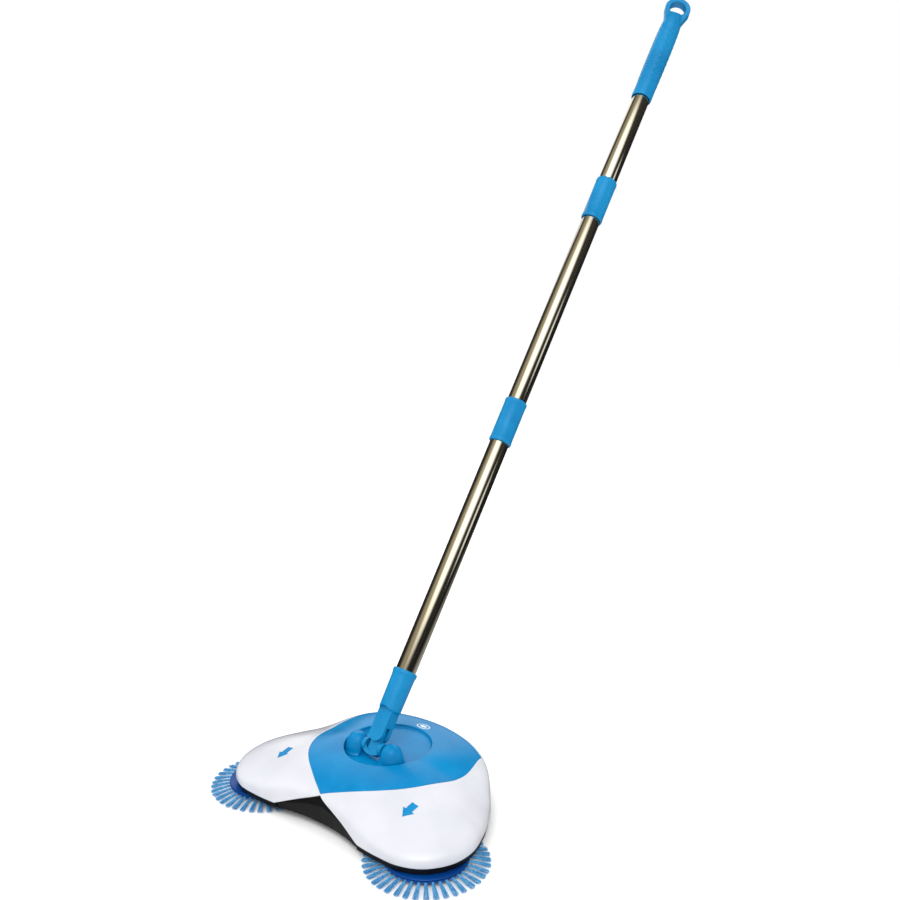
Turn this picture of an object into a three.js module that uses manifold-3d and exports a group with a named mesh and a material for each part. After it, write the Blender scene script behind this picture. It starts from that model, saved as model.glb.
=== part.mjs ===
// Push-along carpet sweeper: a floor head with two geared side brushes, a geared roller brush and a
// dust drawer, and a three-piece screw-together handle on a two-way joint.
// Millimetres, +Z up. The head drives towards -Y. Everything is drawn from a point on the floor, on the
// middle plane, level with the two side brush spindles, and the whole is then moved along Y so that the
// origin is at the middle of the bottom of its bounding box.

import * as THREE from 'three';
import { mergeVertices } from 'three/addons/utils/BufferGeometryUtils.js';
import Module from 'manifold-3d';

const wasm = await Module();
wasm.setup();

// ---------------------------------------------------------------- driving dimensions

const GAP = 0.35; // working gap between neighbouring pieces
const WALL = 2.4; // moulded wall

// head shell
const CROWN = [0, 55]; // plan point that the shell's spokes start from
const CROWN_Z = 58;
const RIM_Z = 13.7; // lower edge of the white shell
const RIM = [
  [0, -33], [32, -34.5], [60, -39], [86, -40.5], [112, -38.5], [134, -27], [149, -4],
  [151, 22], [143, 47], [130, 74], [111, 101], [85, 126], [42, 141.5], [0, 146],
];
const SHOULDERS = [ // direction from the crown in degrees, and how square the shoulder is there
  [-90, 14], [-65, 9], [-45, 5], [-30, 4.5], [0, 2.9], [15, 2.8], [28, 5], [45, 12], [90, 14],
];
const SPOKES = 46;
const RINGS = [0.42, 0.66, 0.82, 0.92, 0.975, 1];
const ARCH_Z = 40.5; // top of the front mouth
const ARCH_HALF = 60;
const MOUTH_DEPTH_Y = -25;
const MOUTH_WALL = { half: 58, thickness: 2.2, setback: 2.8 }; // how far its foot stands behind its top

// centre cover
const COVER_SIDE = [[0, -29], [20, -18], [54, 5], [70, 23], [82, 48], [90, 85], [81, 124]];
const COVER_REAR_Y = 142;
const DISH = { y: 68, radius: 46, floor: 51.2, tilt: 0.055 }; // floor height is at the dish's middle

// fixings: screws through the base, and tabs of the shell that carry the cover
const CASE_SCREWS = [[34, -17], [98, 92]];
const SCREW = { bore: 1.7, boss: 4, hole: 1.9, shank: 1.5, head: 3.2 };
const COVER_TABS = [[30, -12], [80, 44], [86, 100], [55, 128]];

// base
const BASE_Z = 8.3;
const FLOOR_T = 2.2;
const BASE_TOP = BASE_Z + FLOOR_T;
const LIP_TOP = 17; // lip that stands up inside the shell
const SIDE_WALL_X = 50; // inner face of the two walls beside the roller brush
const SIDE_WALL_T = 2;

// wheels, brushes and gears
const SPINDLE_X = 113;
const WHEEL = { y: 60, radius: 20, hub: 16.5, inner: 58, outer: 66 };
const CROWN_GEAR = { teeth: 15, inner: 12.8, outer: 16.4, height: 1.8, width: 1.4 };
const GEAR_MODULE = 2;
const GEAR_Z = [13, 20.5];
const PINION = { teeth: 9, x: 77, top: 37.4 };
const IDLER_TEETH = 10;
const SPINDLE_TEETH = 21;
const TRAIN_MODULE = 1.25;
const TRAIN_TEETH = { wheel: 20, idler: 12, roller: 16 };
const TRAIN_X = [53, 56.6];
const ROLLER = { z: 19, core: 9, radius: 18.4, half: 47.5, rows: 4, twist: 1.3 };
const BRUSH = { disc: 41, tip: 62, tufts: 40 };
const BIN = { half: 51, front: 68, bottom: 6.5, top: 38.5, wall: 2 };
const PULL = { half: 24, bottom: 12, top: 24, depth: 136.5 }; // finger recess in the drawer's face
const LATCH = { half: 9, bottom: 28.4, top: 35.1 };
const REAR_ROLLER = { x: 84, y: 108, radius: 7, half: 4.5 };

// handle joint and handle; distances along the handle start at the tilt pivot
const PIVOT = { y: 48, z: 61 };
const LEAN = THREE.MathUtils.degToRad(35.8);
const POST_X = 24;
const POST_INNER = 14;
const SWING_AT = 14;
const PIN_R = { tilt: 2.4, swing: 1.9, clearance: 0.2 };
const EAR = { inner: 8.8, radius: 6.6 };
const TAB = { half: 6.4, thickness: 4.8 };
const TONGUE = { half: 9, halfDepth: 6.8 };
const TUBE = { outer: 11, inner: 10.65 };
const SLEEVE = 13;
const SOCKET = { bottom: 40, top: 83, seat: 57 };
const CONNECTORS = [[356, 410], [663, 720.5]];
const GRIP = { bottom: 849, top: 1011, loop: 995, loopHole: 10.5, loopTurn: 0.62 };

// ---------------------------------------------------------------- materials

function material(color, roughness, metalness = 0) {
  return new THREE.MeshStandardMaterial({ color, roughness, metalness });
}
const BLUE = material(0x1a8ed2, 0.35);
const DEEP_BLUE = material(0x0f55ad, 0.4);
const BRISTLE = material(0x4fb4ea, 0.5);
const WHITE = material(0xf1f1f4, 0.2);
const BLACK = material(0x1b1b1f, 0.5);
const SMOKE = material(0x3a3d42, 0.3);
const STEEL = material(0xc9c2b4, 0.18, 1);
const ZINC = material(0xb4b6ba, 0.35, 1);
const RUBBER = material(0x2a2a2c, 0.9);
const NATURAL = material(0xe9e4d6, 0.5);

// ---------------------------------------------------------------- solids

function solid(geometry) {
  const bare = geometry.clone();
  bare.deleteAttribute('normal');
  bare.deleteAttribute('uv');
  const merged = mergeVertices(bare, 1e-4);
  const index = merged.index.array;
  const triangles = [];
  for (let i = 0; i < index.length; i += 3) {
    const [a, b, c] = [index[i], index[i + 1], index[i + 2]];
    if (a !== b && b !== c && c !== a) triangles.push(a, b, c);
  }
  const vertProperties = new Float32Array(merged.attributes.position.array);
  const triVerts = new Uint32Array(triangles);
  return new wasm.Manifold(new wasm.Mesh({ numProp: 3, vertProperties, triVerts }));
}

function geometryOf(body) {
  const data = body.getMesh();
  const geometry = new THREE.BufferGeometry();
  geometry.setAttribute('position', new THREE.BufferAttribute(new Float32Array(data.vertProperties), 3));
  geometry.setIndex(Array.from(data.triVerts));
  return geometry;
}

function mirrored(body) {
  const geometry = geometryOf(body);
  geometry.scale(-1, 1, 1);
  const index = geometry.index.array;
  for (let i = 0; i < index.length; i += 3) {
    [index[i], index[i + 1]] = [index[i + 1], index[i]];
  }
  return solid(geometry);
}

function union(bodies) {
  return bodies.reduce((sum, body) => sum.add(body));
}

function box(x, y, z) {
  const geometry = new THREE.BoxGeometry(x[1] - x[0], y[1] - y[0], z[1] - z[0]);
  geometry.translate((x[0] + x[1]) / 2, (y[0] + y[1]) / 2, (z[0] + z[1]) / 2);
  return solid(geometry);
}

// Turns a geometry built along +Y so that it runs along the named axis.
function alongAxis(geometry, axis) {
  if (axis === 'z') geometry.rotateX(Math.PI / 2);
  if (axis === 'x') geometry.rotateZ(-Math.PI / 2);
  return geometry;
}

// A solid of revolution. The profile holds [radius, height] corners, going up on the outside.
function lathe(profile, sides, axis = 'z', at = [0, 0, 0]) {
  const points = profile.map(([r, h]) => new THREE.Vector2(r, h));
  const geometry = alongAxis(new THREE.LatheGeometry(points, sides), axis);
  return solid(geometry.translate(...at));
}

function rod(radius, from, to, sides, axis = 'z', at = [0, 0, 0]) {
  return lathe([[0, from], [radius, from], [radius, to], [0, to]], sides, axis, at);
}

function ring(inner, outer, from, to, sides, axis = 'z', at = [0, 0, 0]) {
  const profile = [[inner, from], [outer, from], [outer, to], [inner, to], [inner, from]];
  return lathe(profile, sides, axis, at);
}

function prism(points, from, to) {
  const shape = new THREE.Shape(points.map(([x, y]) => new THREE.Vector2(x, y)));
  const geometry = new THREE.ExtrudeGeometry(shape, { depth: to - from, bevelEnabled: false });
  return solid(geometry.translate(0, 0, from));
}

// A prism whose outline is drawn in X and Z and that runs along Y.
function prismAlongY(points, from, to) {
  const shape = new THREE.Shape(points.map(([x, z]) => new THREE.Vector2(x, z)));
  const geometry = new THREE.ExtrudeGeometry(shape, { depth: to - from, bevelEnabled: false });
  return solid(geometry.rotateX(Math.PI / 2).translate(0, to, 0));
}

// A prism whose outline is drawn in Y and Z and that runs along X.
function prismAlongX(points, from, to) {
  const shape = new THREE.Shape(points.map(([y, z]) => new THREE.Vector2(y, z)));
  const geometry = new THREE.ExtrudeGeometry(shape, { depth: to - from, bevelEnabled: false });
  geometry.rotateX(Math.PI / 2).rotateZ(Math.PI / 2);
  return solid(geometry.translate(from, 0, 0));
}

function arc(centre, radius, fromDegrees, toDegrees, steps) {
  return Array.from({ length: steps + 1 }, (_, i) => {
    const angle = THREE.MathUtils.degToRad(fromDegrees + ((toDegrees - fromDegrees) * i) / steps);
    return [centre[0] + radius * Math.cos(angle), centre[1] + radius * Math.sin(angle)];
  });
}

// Moves each point of a closed outline inwards along the outline's normal.
function inset(points, distance) {
  const count = points.length;
  return points.map(([x, y], i) => {
    const before = points[(i + count - 1) % count];
    const after = points[(i + 1) % count];
    const length = Math.hypot(after[0] - before[0], after[1] - before[1]);
    const nx = -(after[1] - before[1]) / length;
    const ny = (after[0] - before[0]) / length;
    return [x + nx * distance, y + ny * distance];
  });
}

// ---------------------------------------------------------------- head surface

function rimOutline(distance = 0) {
  const left = RIM.slice(1, -1).reverse().map(([x, y]) => [-x, y]);
  const loop = [...RIM, ...left].map(([x, y]) => new THREE.Vector3(x, y, 0));
  const curve = new THREE.CatmullRomCurve3(loop, true, 'centripetal');
  const points = Array.from({ length: SPOKES }, (_, i) => curve.getPoint(i / SPOKES));
  return inset(points.map((p) => [p.x, p.y]), distance);
}

function shoulderAt(x, y) {
  const degrees = THREE.MathUtils.radToDeg(Math.atan2(y - CROWN[1], Math.abs(x)));
  const next = Math.max(1, SHOULDERS.findIndex(([angle]) => angle >= degrees));
  const [a, low] = SHOULDERS[next - 1];
  const [b, high] = SHOULDERS[next];
  return THREE.MathUtils.lerp(low, high, (degrees - a) / (b - a));
}

// Height of the head's top surface before its shoulders turn down.
function topHeight(x, y) {
  const forward = Math.max(0, 60 - y) / 100;
  const rearward = Math.max(0, y - 60) / 100;
  const outward = Math.abs(x) / 100;
  const lobe = THREE.MathUtils.smoothstep(Math.abs(x), 50, 90);
  return CROWN_Z - 19 * forward ** 2 - 4 * rearward ** 2 - 6 * outward ** 2 - 3 * lobe;
}

// Everything under the head's surface, set in by a distance, down to a flat bottom.
function headSolid(distance, bottom) {
  const outline = rimOutline(distance);
  const positions = [CROWN[0], CROWN[1], topHeight(...CROWN) - distance];
  for (const s of RINGS) {
    for (const [px, py] of outline) {
      const x = CROWN[0] + (px - CROWN[0]) * s;
      const y = CROWN[1] + (py - CROWN[1]) * s;
      const square = shoulderAt(x, y);
      const fall = (1 - s ** square) ** (1 / square);
      positions.push(x, y, RIM_Z + (topHeight(x, y) - distance - RIM_Z) * fall);
    }
  }
  for (const [x, y] of outline) positions.push(x, y, bottom);
  const last = positions.length / 3;
  positions.push(CROWN[0], CROWN[1], bottom);

  const index = [];
  for (let i = 0; i < SPOKES; i++) {
    const j = (i + 1) % SPOKES;
    index.push(0, 1 + i, 1 + j);
    for (let k = 0; k < RINGS.length; k++) {
      const inner = 1 + k * SPOKES;
      const outer = inner + SPOKES;
      index.push(inner + i, outer + i, outer + j, inner + i, outer + j, inner + j);
    }
    const floor = 1 + RINGS.length * SPOKES;
    index.push(last, floor + j, floor + i);
  }
  const geometry = new THREE.BufferGeometry();
  geometry.setAttribute('position', new THREE.Float32BufferAttribute(positions, 3));
  geometry.setIndex(index);
  return solid(geometry);
}

function headSkin(from, to, bottom) {
  return headSolid(from, bottom).subtract(headSolid(to, bottom - 1));
}

function coverOutline(distance = 0) {
  const side = new THREE.CatmullRomCurve3(COVER_SIDE.map(([x, y]) => new THREE.Vector3(x, y, 0)));
  const right = side.getPoints(10).map((p) => [p.x, p.y]);
  const corner = right[right.length - 1];
  const rear = new THREE.QuadraticBezierCurve(
    new THREE.Vector2(...corner),
    new THREE.Vector2(40, COVER_REAR_Y),
    new THREE.Vector2(0, COVER_REAR_Y),
  );
  const half = [...right, ...rear.getPoints(3).slice(1).map((p) => [p.x, p.y])];
  const left = half.slice(1, -1).reverse().map(([x, y]) => [-x, y]);
  return inset([...half, ...left], distance);
}

// ---------------------------------------------------------------- shell and covers

function topShell() {
  const opening = prism(coverOutline(-GAP), 30, 90);
  const mouth = prismAlongY(
    [[-ARCH_HALF, 0], [ARCH_HALF, 0], [ARCH_HALF, RIM_Z], ...arch(), [-ARCH_HALF, RIM_Z]],
    -70, MOUTH_DEPTH_Y,
  );
  let shell = headSkin(0, WALL, RIM_Z - 0.5).subtract(opening);
  const seat = headSkin(WALL + 0.3, WALL * 2, RIM_Z).intersect(prism(coverOutline(-1), 30, 90));
  const flange = headSkin(WALL - 1, WALL * 2, RIM_Z).intersect(prism(coverOutline(-3), 30, 90));
  const tabs = union(COVER_TABS.map(([x, y]) => box([x - 7, x + 7], [y - 7, y + 7], [20, 60])));
  const ledge = seat.add(flange.subtract(opening)).subtract(prism(coverOutline(6), 20, 90))
    .intersect(tabs);
  shell = shell.add(ledge).add(mirrored(ledge));
  for (const [x, y] of CASE_SCREWS) {
    const boss = ring(SCREW.bore, SCREW.boss, BASE_TOP + GAP, 60, 12, 'z', [x, y, 0])
      .intersect(headSolid(1, 0));
    shell = shell.add(boss).add(mirrored(boss));
  }
  const drawerSlot = box([-BIN.half - 0.6, BIN.half + 0.6], [100, 160], [0, BIN.top + 0.6]);
  const under = box([-200, 200], [-200, 200], [-5, RIM_Z]);
  const bosses = union(CASE_SCREWS.flatMap(([x, y]) => {
    const keep = rod(SCREW.boss + 0.2, BASE_TOP, RIM_Z + 1, 12, 'z', [x, y, 0]);
    return [keep, mirrored(keep)];
  }));
  return shell.subtract(drawerSlot).subtract(mouth).subtract(under.subtract(bosses));
}

function archHeight(x) {
  return ARCH_Z - ((ARCH_Z - RIM_Z) * Math.abs(x)) / ARCH_HALF;
}

// The front mouth's upper edge, from right to left.
function arch() {
  const steps = 12;
  return Array.from({ length: steps - 1 }, (_, i) => {
    const x = ARCH_HALF * (1 - (2 * (i + 1)) / steps);
    return [x, archHeight(x)];
  });
}

function post() {
  const foot = DISH.floor - 3;
  const profile = [[0, foot], [12.6, foot], [12.2, 53], [11.6, 59], [10.6, 63.5],
    [8.4, 67], [5, 69.4], [0, 70.2]];
  const column = lathe(profile, 16, 'z', [POST_X, PIVOT.y, 0]);
  const inside = box([-5, POST_INNER], [20, 80], [40, 80]);
  const radius = PIN_R.tilt + PIN_R.clearance;
  const bore = rod(radius, POST_INNER - 1, POST_X + 1, 12, 'x', [0, PIVOT.y, PIVOT.z]);
  return column.subtract(inside).subtract(bore);
}

// An upright block over the dish, whose flat bottom slopes like the dish's floor.
function dishBlock(radius, from) {
  const geometry = new THREE.CylinderGeometry(radius, radius, 60, 32);
  geometry.rotateX(Math.PI / 2).translate(0, 0, 30 + from).rotateX(DISH.tilt);
  return solid(geometry.translate(0, DISH.y, DISH.floor));
}

function centreCover() {
  const outline = prism(coverOutline(0), 30, 90);
  const skin = headSkin(0, WALL, RIM_Z).intersect(outline);
  const cup = dishBlock(DISH.radius + WALL, -WALL).intersect(headSolid(0, 0));
  const hollow = dishBlock(DISH.radius, 0);
  const cover = skin.add(cup).subtract(hollow);
  return union([cover, post(), mirrored(post())]);
}

// ---------------------------------------------------------------- base

const ROLLER_Y = WHEEL.y - (TRAIN_MODULE * (TRAIN_TEETH.wheel + TRAIN_TEETH.roller)) / 2
  - TRAIN_MODULE * TRAIN_TEETH.idler;
const BEARING_X = SIDE_WALL_X + SIDE_WALL_T;

function gearCentres() {
  const pinion = new THREE.Vector2(PINION.x, WHEEL.y);
  const spindle = new THREE.Vector2(SPINDLE_X, 0);
  const along = spindle.clone().sub(pinion).normalize();
  const first = (GEAR_MODULE * (PINION.teeth + IDLER_TEETH)) / 2;
  const second = first + GEAR_MODULE * IDLER_TEETH;
  return {
    pinion,
    outerIdler: pinion.clone().addScaledVector(along, second),
    innerIdler: pinion.clone().addScaledVector(along, first),
    spindle,
    angle: along.angle(),
  };
}
const TRAIN = gearCentres();

// A closed solid through equal cross-sections, each a polygon of [y, z] corners at its own x.
function loft(sections) {
  const count = sections[0].corners.length;
  const positions = sections.flatMap(({ x, corners }) => corners.flatMap(([y, z]) => [x, y, z]));
  const index = [];
  for (let i = 0; i + 1 < sections.length; i++) {
    for (let k = 0; k < count; k++) {
      const a = i * count + k;
      const b = i * count + ((k + 1) % count);
      index.push(a, b + count, a + count, a, b, b + count);
    }
  }
  const last = (sections.length - 1) * count;
  for (let k = 1; k + 1 < count; k++) {
    index.push(0, k + 1, k, last, last + k, last + k + 1);
  }
  const geometry = new THREE.BufferGeometry();
  geometry.setAttribute('position', new THREE.Float32BufferAttribute(positions, 3));
  geometry.setIndex(index);
  return solid(geometry);
}

// The wall behind the front mouth, leaning back towards its foot, and the space in front of it.
function mouthWall() {
  const outline = rimOutline(WALL + GAP);
  const front = outline.filter(([x, y]) => y < 0 && Math.abs(x) < MOUTH_WALL.half + 20)
    .sort((a, b) => a[0] - b[0]);
  const steps = 24;
  const rows = Array.from({ length: steps + 1 }, (_, i) => {
    const x = MOUTH_WALL.half * ((2 * i) / steps - 1);
    const next = front.findIndex(([px]) => px >= x);
    const [a, b] = [front[next - 1], front[next]];
    const top = THREE.MathUtils.lerp(a[1], b[1], (x - a[0]) / (b[0] - a[0]));
    return { x, top, foot: top + MOUTH_WALL.setback * (1 - (x / MOUTH_WALL.half) ** 2) };
  });
  const low = BASE_Z;
  const wall = loft(rows.map(({ x, top, foot }) => ({
    x,
    corners: [[foot, low], [foot + MOUTH_WALL.thickness, low],
      [top + MOUTH_WALL.thickness, archHeight(x) + 1.5], [top, archHeight(x) + 1.5]],
  })));
  const before = loft(rows.map(({ x, foot }) => ({
    x,
    corners: [[-60, low - 1], [foot + 0.5, low - 1], [foot + 0.5, LIP_TOP + 1], [-60, LIP_TOP + 1]],
  })));
  return { wall: wall.intersect(headSolid(WALL + GAP, BASE_Z - 1)), before };
}

function basePlate() {
  const tray = prism(rimOutline(1.2), BASE_Z, RIM_Z - 0.3);
  const pan = prism(rimOutline(4.2), BASE_TOP, 30);
  const lip = prism(rimOutline(WALL + GAP), BASE_TOP, LIP_TOP).intersect(headSolid(WALL + GAP, 5))
    .subtract(prism(rimOutline(4.4), 5, 30));
  const drawerBay = box([-BIN.half - 1, BIN.half + 1], [BIN.front - 2, 160], [0, 30]);
  const mouth = mouthWall();
  let plate = tray.subtract(pan).add(lip).subtract(mouth.before).add(mouth.wall);

  const rollerBay = box([-SIDE_WALL_X, SIDE_WALL_X], [0, 46], [0, 30]);
  const wheelBay = box([BEARING_X + 0.6, 70.5], [WHEEL.y - 21.5, WHEEL.y + 21.5], [0, 30]);
  const trainBay = box([-TRAIN_X[1] - 0.6, -BEARING_X], [ROLLER_Y - 12, WHEEL.y], [0, 30]);
  plate = plate.subtract(union([drawerBay, rollerBay, trainBay, wheelBay, mirrored(wheelBay)]));

  const wallShape = [[-4, BASE_Z], [WHEEL.y + 6, BASE_Z], [WHEEL.y + 6, 26], [WHEEL.y, 30], [40, 30],
    [ROLLER_Y + 9, 40], [ROLLER_Y - 9, 40], [-4, 26]];
  let wall = prismAlongX(wallShape, SIDE_WALL_X, BEARING_X);
  const rollerHole = rod(5.2, SIDE_WALL_X - 1, BEARING_X + 1, 16, 'x', [0, ROLLER_Y, ROLLER.z]);
  const axleHole = rod(2.55, SIDE_WALL_X - 1, BEARING_X + 1, 12, 'x', [0, WHEEL.y, WHEEL.radius]);
  wall = wall.subtract(rollerHole).subtract(axleHole);
  plate = plate.add(wall).add(mirrored(wall));

  const idlerStud = rod(2.4, BEARING_X - 0.5, TRAIN_X[1] + 0.6, 10, 'x', rollerIdlerCentre());
  plate = plate.add(mirrored(idlerStud));

  const studs = [TRAIN.pinion, TRAIN.innerIdler, TRAIN.outerIdler].map((centre, i) => {
    const top = i === 0 ? PINION.top - 6 : GEAR_Z[1] - 2;
    return rod(2.6, BASE_Z + 0.5, top, 10, 'z', [centre.x, centre.y, 0]);
  });
  const spindleHole = rod(6.7, 0, 30, 16, 'z', [SPINDLE_X, 0, 0]);
  const screwHoles = CASE_SCREWS.map(([x, y]) => rod(SCREW.hole, 0, 30, 12, 'z', [x, y, 0]));
  const lug = (x) => box([x - 0.9, x + 0.9], [REAR_ROLLER.y - 5, REAR_ROLLER.y + 5], [4.4, BASE_TOP]);
  const lugX = REAR_ROLLER.half + 1.5;
  const pinAt = [REAR_ROLLER.x, REAR_ROLLER.y, REAR_ROLLER.radius];
  const pinHole = rod(1.6, -9, 9, 10, 'x', pinAt);
  const rollerSlot = box(
    [REAR_ROLLER.x - REAR_ROLLER.half - 0.6, REAR_ROLLER.x + REAR_ROLLER.half + 0.6],
    [REAR_ROLLER.y - 8.5, REAR_ROLLER.y + 8.5], [0, 30],
  );
  const added = union([...studs, lug(REAR_ROLLER.x - lugX), lug(REAR_ROLLER.x + lugX)]);
  const removed = union([spindleHole, ...screwHoles, pinHole, rollerSlot]);
  return plate.add(added).add(mirrored(added)).subtract(removed).subtract(mirrored(removed));
}

function rollerIdlerCentre() {
  const along = new THREE.Vector2(ROLLER_Y - WHEEL.y, ROLLER.z - WHEEL.radius).normalize();
  const reach = (TRAIN_MODULE * (TRAIN_TEETH.wheel + TRAIN_TEETH.idler)) / 2;
  return [0, WHEEL.y + along.x * reach, WHEEL.radius + along.y * reach];
}

function rollerHood() {
  const centre = [ROLLER_Y, ROLLER.z];
  const outer = arc(centre, 22, 180, 60, 10);
  const inner = arc(centre, 20.4, 60, 180, 10);
  const outline = [...outer, [BIN.front + 4, 42], [BIN.front + 4, 40.4], ...inner];
  const half = SIDE_WALL_X - GAP;
  return prismAlongX([...outline].reverse(), -half, half);
}

// ---------------------------------------------------------------- dust drawer

function dustDrawer() {
  const { half, front, bottom, top, wall } = BIN;
  const back = 138;
  const outer = box([-half, half], [front, back], [bottom, top]);
  const inner = box([-half + wall, half - wall], [front - wall, back - wall], [bottom + wall, 60]);
  const sill = box([-half, half], [front, front + wall], [bottom, bottom + 4]);
  const face = headSkin(0, WALL, 5).intersect(box([-half, half], [120, 160], [bottom, top]));
  const behindFace = headSolid(WALL + 6, 4).subtract(box([-200, 200], [back - wall, 200], [0, 60]));
  const fill = headSolid(1, 5).intersect(box([-half, half], [back - 4, 160], [bottom, top]))
    .subtract(behindFace);
  const pull = box([-PULL.half, PULL.half], [PULL.depth, 160], [PULL.bottom, PULL.top]);
  const buttonSlot = box([-LATCH.half - 0.4, LATCH.half + 0.4], [120, 160], [28, 35.5]);
  return union([outer.subtract(inner), sill, face, fill]).subtract(pull).subtract(buttonSlot);
}

function latchButton() {
  const window = box([-LATCH.half, LATCH.half], [120, 160], [LATCH.bottom, LATCH.top]);
  const plate = headSkin(0.2, WALL, 5).intersect(window);
  const stem = box([-6, 6], [132.5, 145], [29.5, 34]);
  const hook = box([-5, 5], [130.5, 133.5], [29.5, BIN.top - 0.3]);
  return union([plate, stem, hook]);
}

// ---------------------------------------------------------------- gears and wheels

// A spur gear along Z. The phase is the angle of the middle of its first tooth.
function spurGear(teeth, size, from, to, bore, phase) {
  const pitch = (2 * Math.PI) / teeth;
  const root = (teeth * size) / 2 - 1.25 * size;
  const tip = (teeth * size) / 2 + 0.8 * size;
  const shape = new THREE.Shape();
  for (let i = 0; i < teeth; i++) {
    const middle = phase + i * pitch;
    const corners = [[root, -0.27], [tip, -0.12], [tip, 0.12], [root, 0.27]];
    corners.forEach(([radius, part], k) => {
      const angle = middle + part * pitch;
      const method = i === 0 && k === 0 ? 'moveTo' : 'lineTo';
      shape[method](radius * Math.cos(angle), radius * Math.sin(angle));
    });
  }
  const geometry = new THREE.ExtrudeGeometry(shape, { depth: to - from, bevelEnabled: false });
  return solid(geometry.translate(0, 0, from)).subtract(rod(bore, from - 1, to + 1, 12));
}

// The phase of a gear that meshes with another one lying in the direction "angle" from it.
function meshedPhase(phase, teeth, nextTeeth, angle) {
  const pitch = (2 * Math.PI) / teeth;
  const nextPitch = (2 * Math.PI) / nextTeeth;
  const offset = (angle - phase) / pitch;
  return angle + Math.PI + (offset + 0.5) * nextPitch;
}

function moved(body, x, y, z = 0) {
  return solid(geometryOf(body).translate(x, y, z));
}

// Turns a body built along Z so that it runs along X: its X becomes Y and its Y becomes Z.
function onSide(body, x, y, z) {
  const geometry = geometryOf(body);
  geometry.rotateZ(Math.PI / 2).rotateY(Math.PI / 2);
  return solid(geometry.translate(x, y, z));
}

const PHASE = {};
PHASE.pinion = Math.PI;
PHASE.innerIdler = meshedPhase(PHASE.pinion, PINION.teeth, IDLER_TEETH, TRAIN.angle);
PHASE.outerIdler = meshedPhase(PHASE.innerIdler, IDLER_TEETH, IDLER_TEETH, TRAIN.angle);
PHASE.spindle = meshedPhase(PHASE.outerIdler, IDLER_TEETH, SPINDLE_TEETH, TRAIN.angle);

function pinionGear() {
  const gear = spurGear(PINION.teeth, GEAR_MODULE, GEAR_Z[0], PINION.top, 2.9, PHASE.pinion);
  return moved(gear, TRAIN.pinion.x, TRAIN.pinion.y);
}

function idlerGear(centre, phase) {
  return moved(spurGear(IDLER_TEETH, GEAR_MODULE, ...GEAR_Z, 2.9, phase), centre.x, centre.y);
}

function spindleGear() {
  const gear = spurGear(SPINDLE_TEETH, GEAR_MODULE, ...GEAR_Z, 4.2, PHASE.spindle);
  return moved(gear, TRAIN.spindle.x, TRAIN.spindle.y);
}

// Wheel body for the right side, with face teeth outside and, on request, a spur gear inside.
function wheelHub(withTrainGear) {
  const at = [0, WHEEL.y, WHEEL.radius];
  const { inner, outer, hub } = WHEEL;
  const profile = [[2.8, inner - 0.6], [hub, inner], [hub, outer], [6.4, outer], [6.4, outer - 3],
    [2.8, outer - 3], [2.8, inner - 0.6]];
  const bodies = [lathe(profile, 24, 'x', at)];
  const pitch = (2 * Math.PI) / CROWN_GEAR.teeth;
  for (let i = 0; i < CROWN_GEAR.teeth; i++) {
    const depth = CROWN_GEAR.outer - CROWN_GEAR.inner;
    const tooth = new THREE.BoxGeometry(CROWN_GEAR.height + 0.5, CROWN_GEAR.width, depth);
    tooth.translate(outer + CROWN_GEAR.height / 2 - 0.25, 0, CROWN_GEAR.inner + depth / 2);
    tooth.rotateX((i + 0.5) * pitch);
    bodies.push(solid(tooth.translate(...at)));
  }
  if (withTrainGear) {
    const length = inner - TRAIN_X[0];
    const gear = spurGear(TRAIN_TEETH.wheel, TRAIN_MODULE, 0, length, 2.8, wheelGearPhase());
    bodies.push(onSide(gear, TRAIN_X[0], WHEEL.y, WHEEL.radius));
  } else {
    bodies.push(ring(2.8, 5, BEARING_X + GAP, inner, 16, 'x', at));
  }
  return union(bodies);
}

function trainAngle() {
  return Math.atan2(ROLLER.z - WHEEL.radius, ROLLER_Y - WHEEL.y);
}

function wheelGearPhase() {
  return trainAngle();
}

function trainIdler() {
  const phase = meshedPhase(wheelGearPhase(), TRAIN_TEETH.wheel, TRAIN_TEETH.idler, trainAngle());
  const gear = spurGear(TRAIN_TEETH.idler, TRAIN_MODULE, 0, TRAIN_X[1] - TRAIN_X[0], 2.7, phase);
  const [, y, z] = rollerIdlerCentre();
  return { gear: onSide(gear, TRAIN_X[0], y, z), phase };
}

function rollerGear() {
  const phase = meshedPhase(trainIdler().phase, TRAIN_TEETH.idler, TRAIN_TEETH.roller, trainAngle());
  const gear = spurGear(TRAIN_TEETH.roller, TRAIN_MODULE, 0, TRAIN_X[1] - TRAIN_X[0], 3.3, phase);
  return onSide(gear, TRAIN_X[0], ROLLER_Y, ROLLER.z);
}

function tyre() {
  const { inner, outer, hub, radius } = WHEEL;
  const r = hub + 0.15;
  const profile = [[r, inner + 0.3], [radius - 0.8, inner + 0.3], [radius, inner + 1.2],
    [radius, outer - 1.2], [radius - 0.8, outer - 0.3], [r, outer - 0.3], [r, inner + 0.3]];
  return lathe(profile, 28, 'x', [0, WHEEL.y, WHEEL.radius]);
}

function wheelAxle() {
  return rod(2.4, SIDE_WALL_X - 0.4, WHEEL.outer - 0.6, 12, 'x', [0, WHEEL.y, WHEEL.radius]);
}

function axleClip() {
  const from = WHEEL.outer - 2.6;
  return ring(2.6, 5, from, from + 1, 16, 'x', [0, WHEEL.y, WHEEL.radius]);
}

// ---------------------------------------------------------------- brushes

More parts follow.
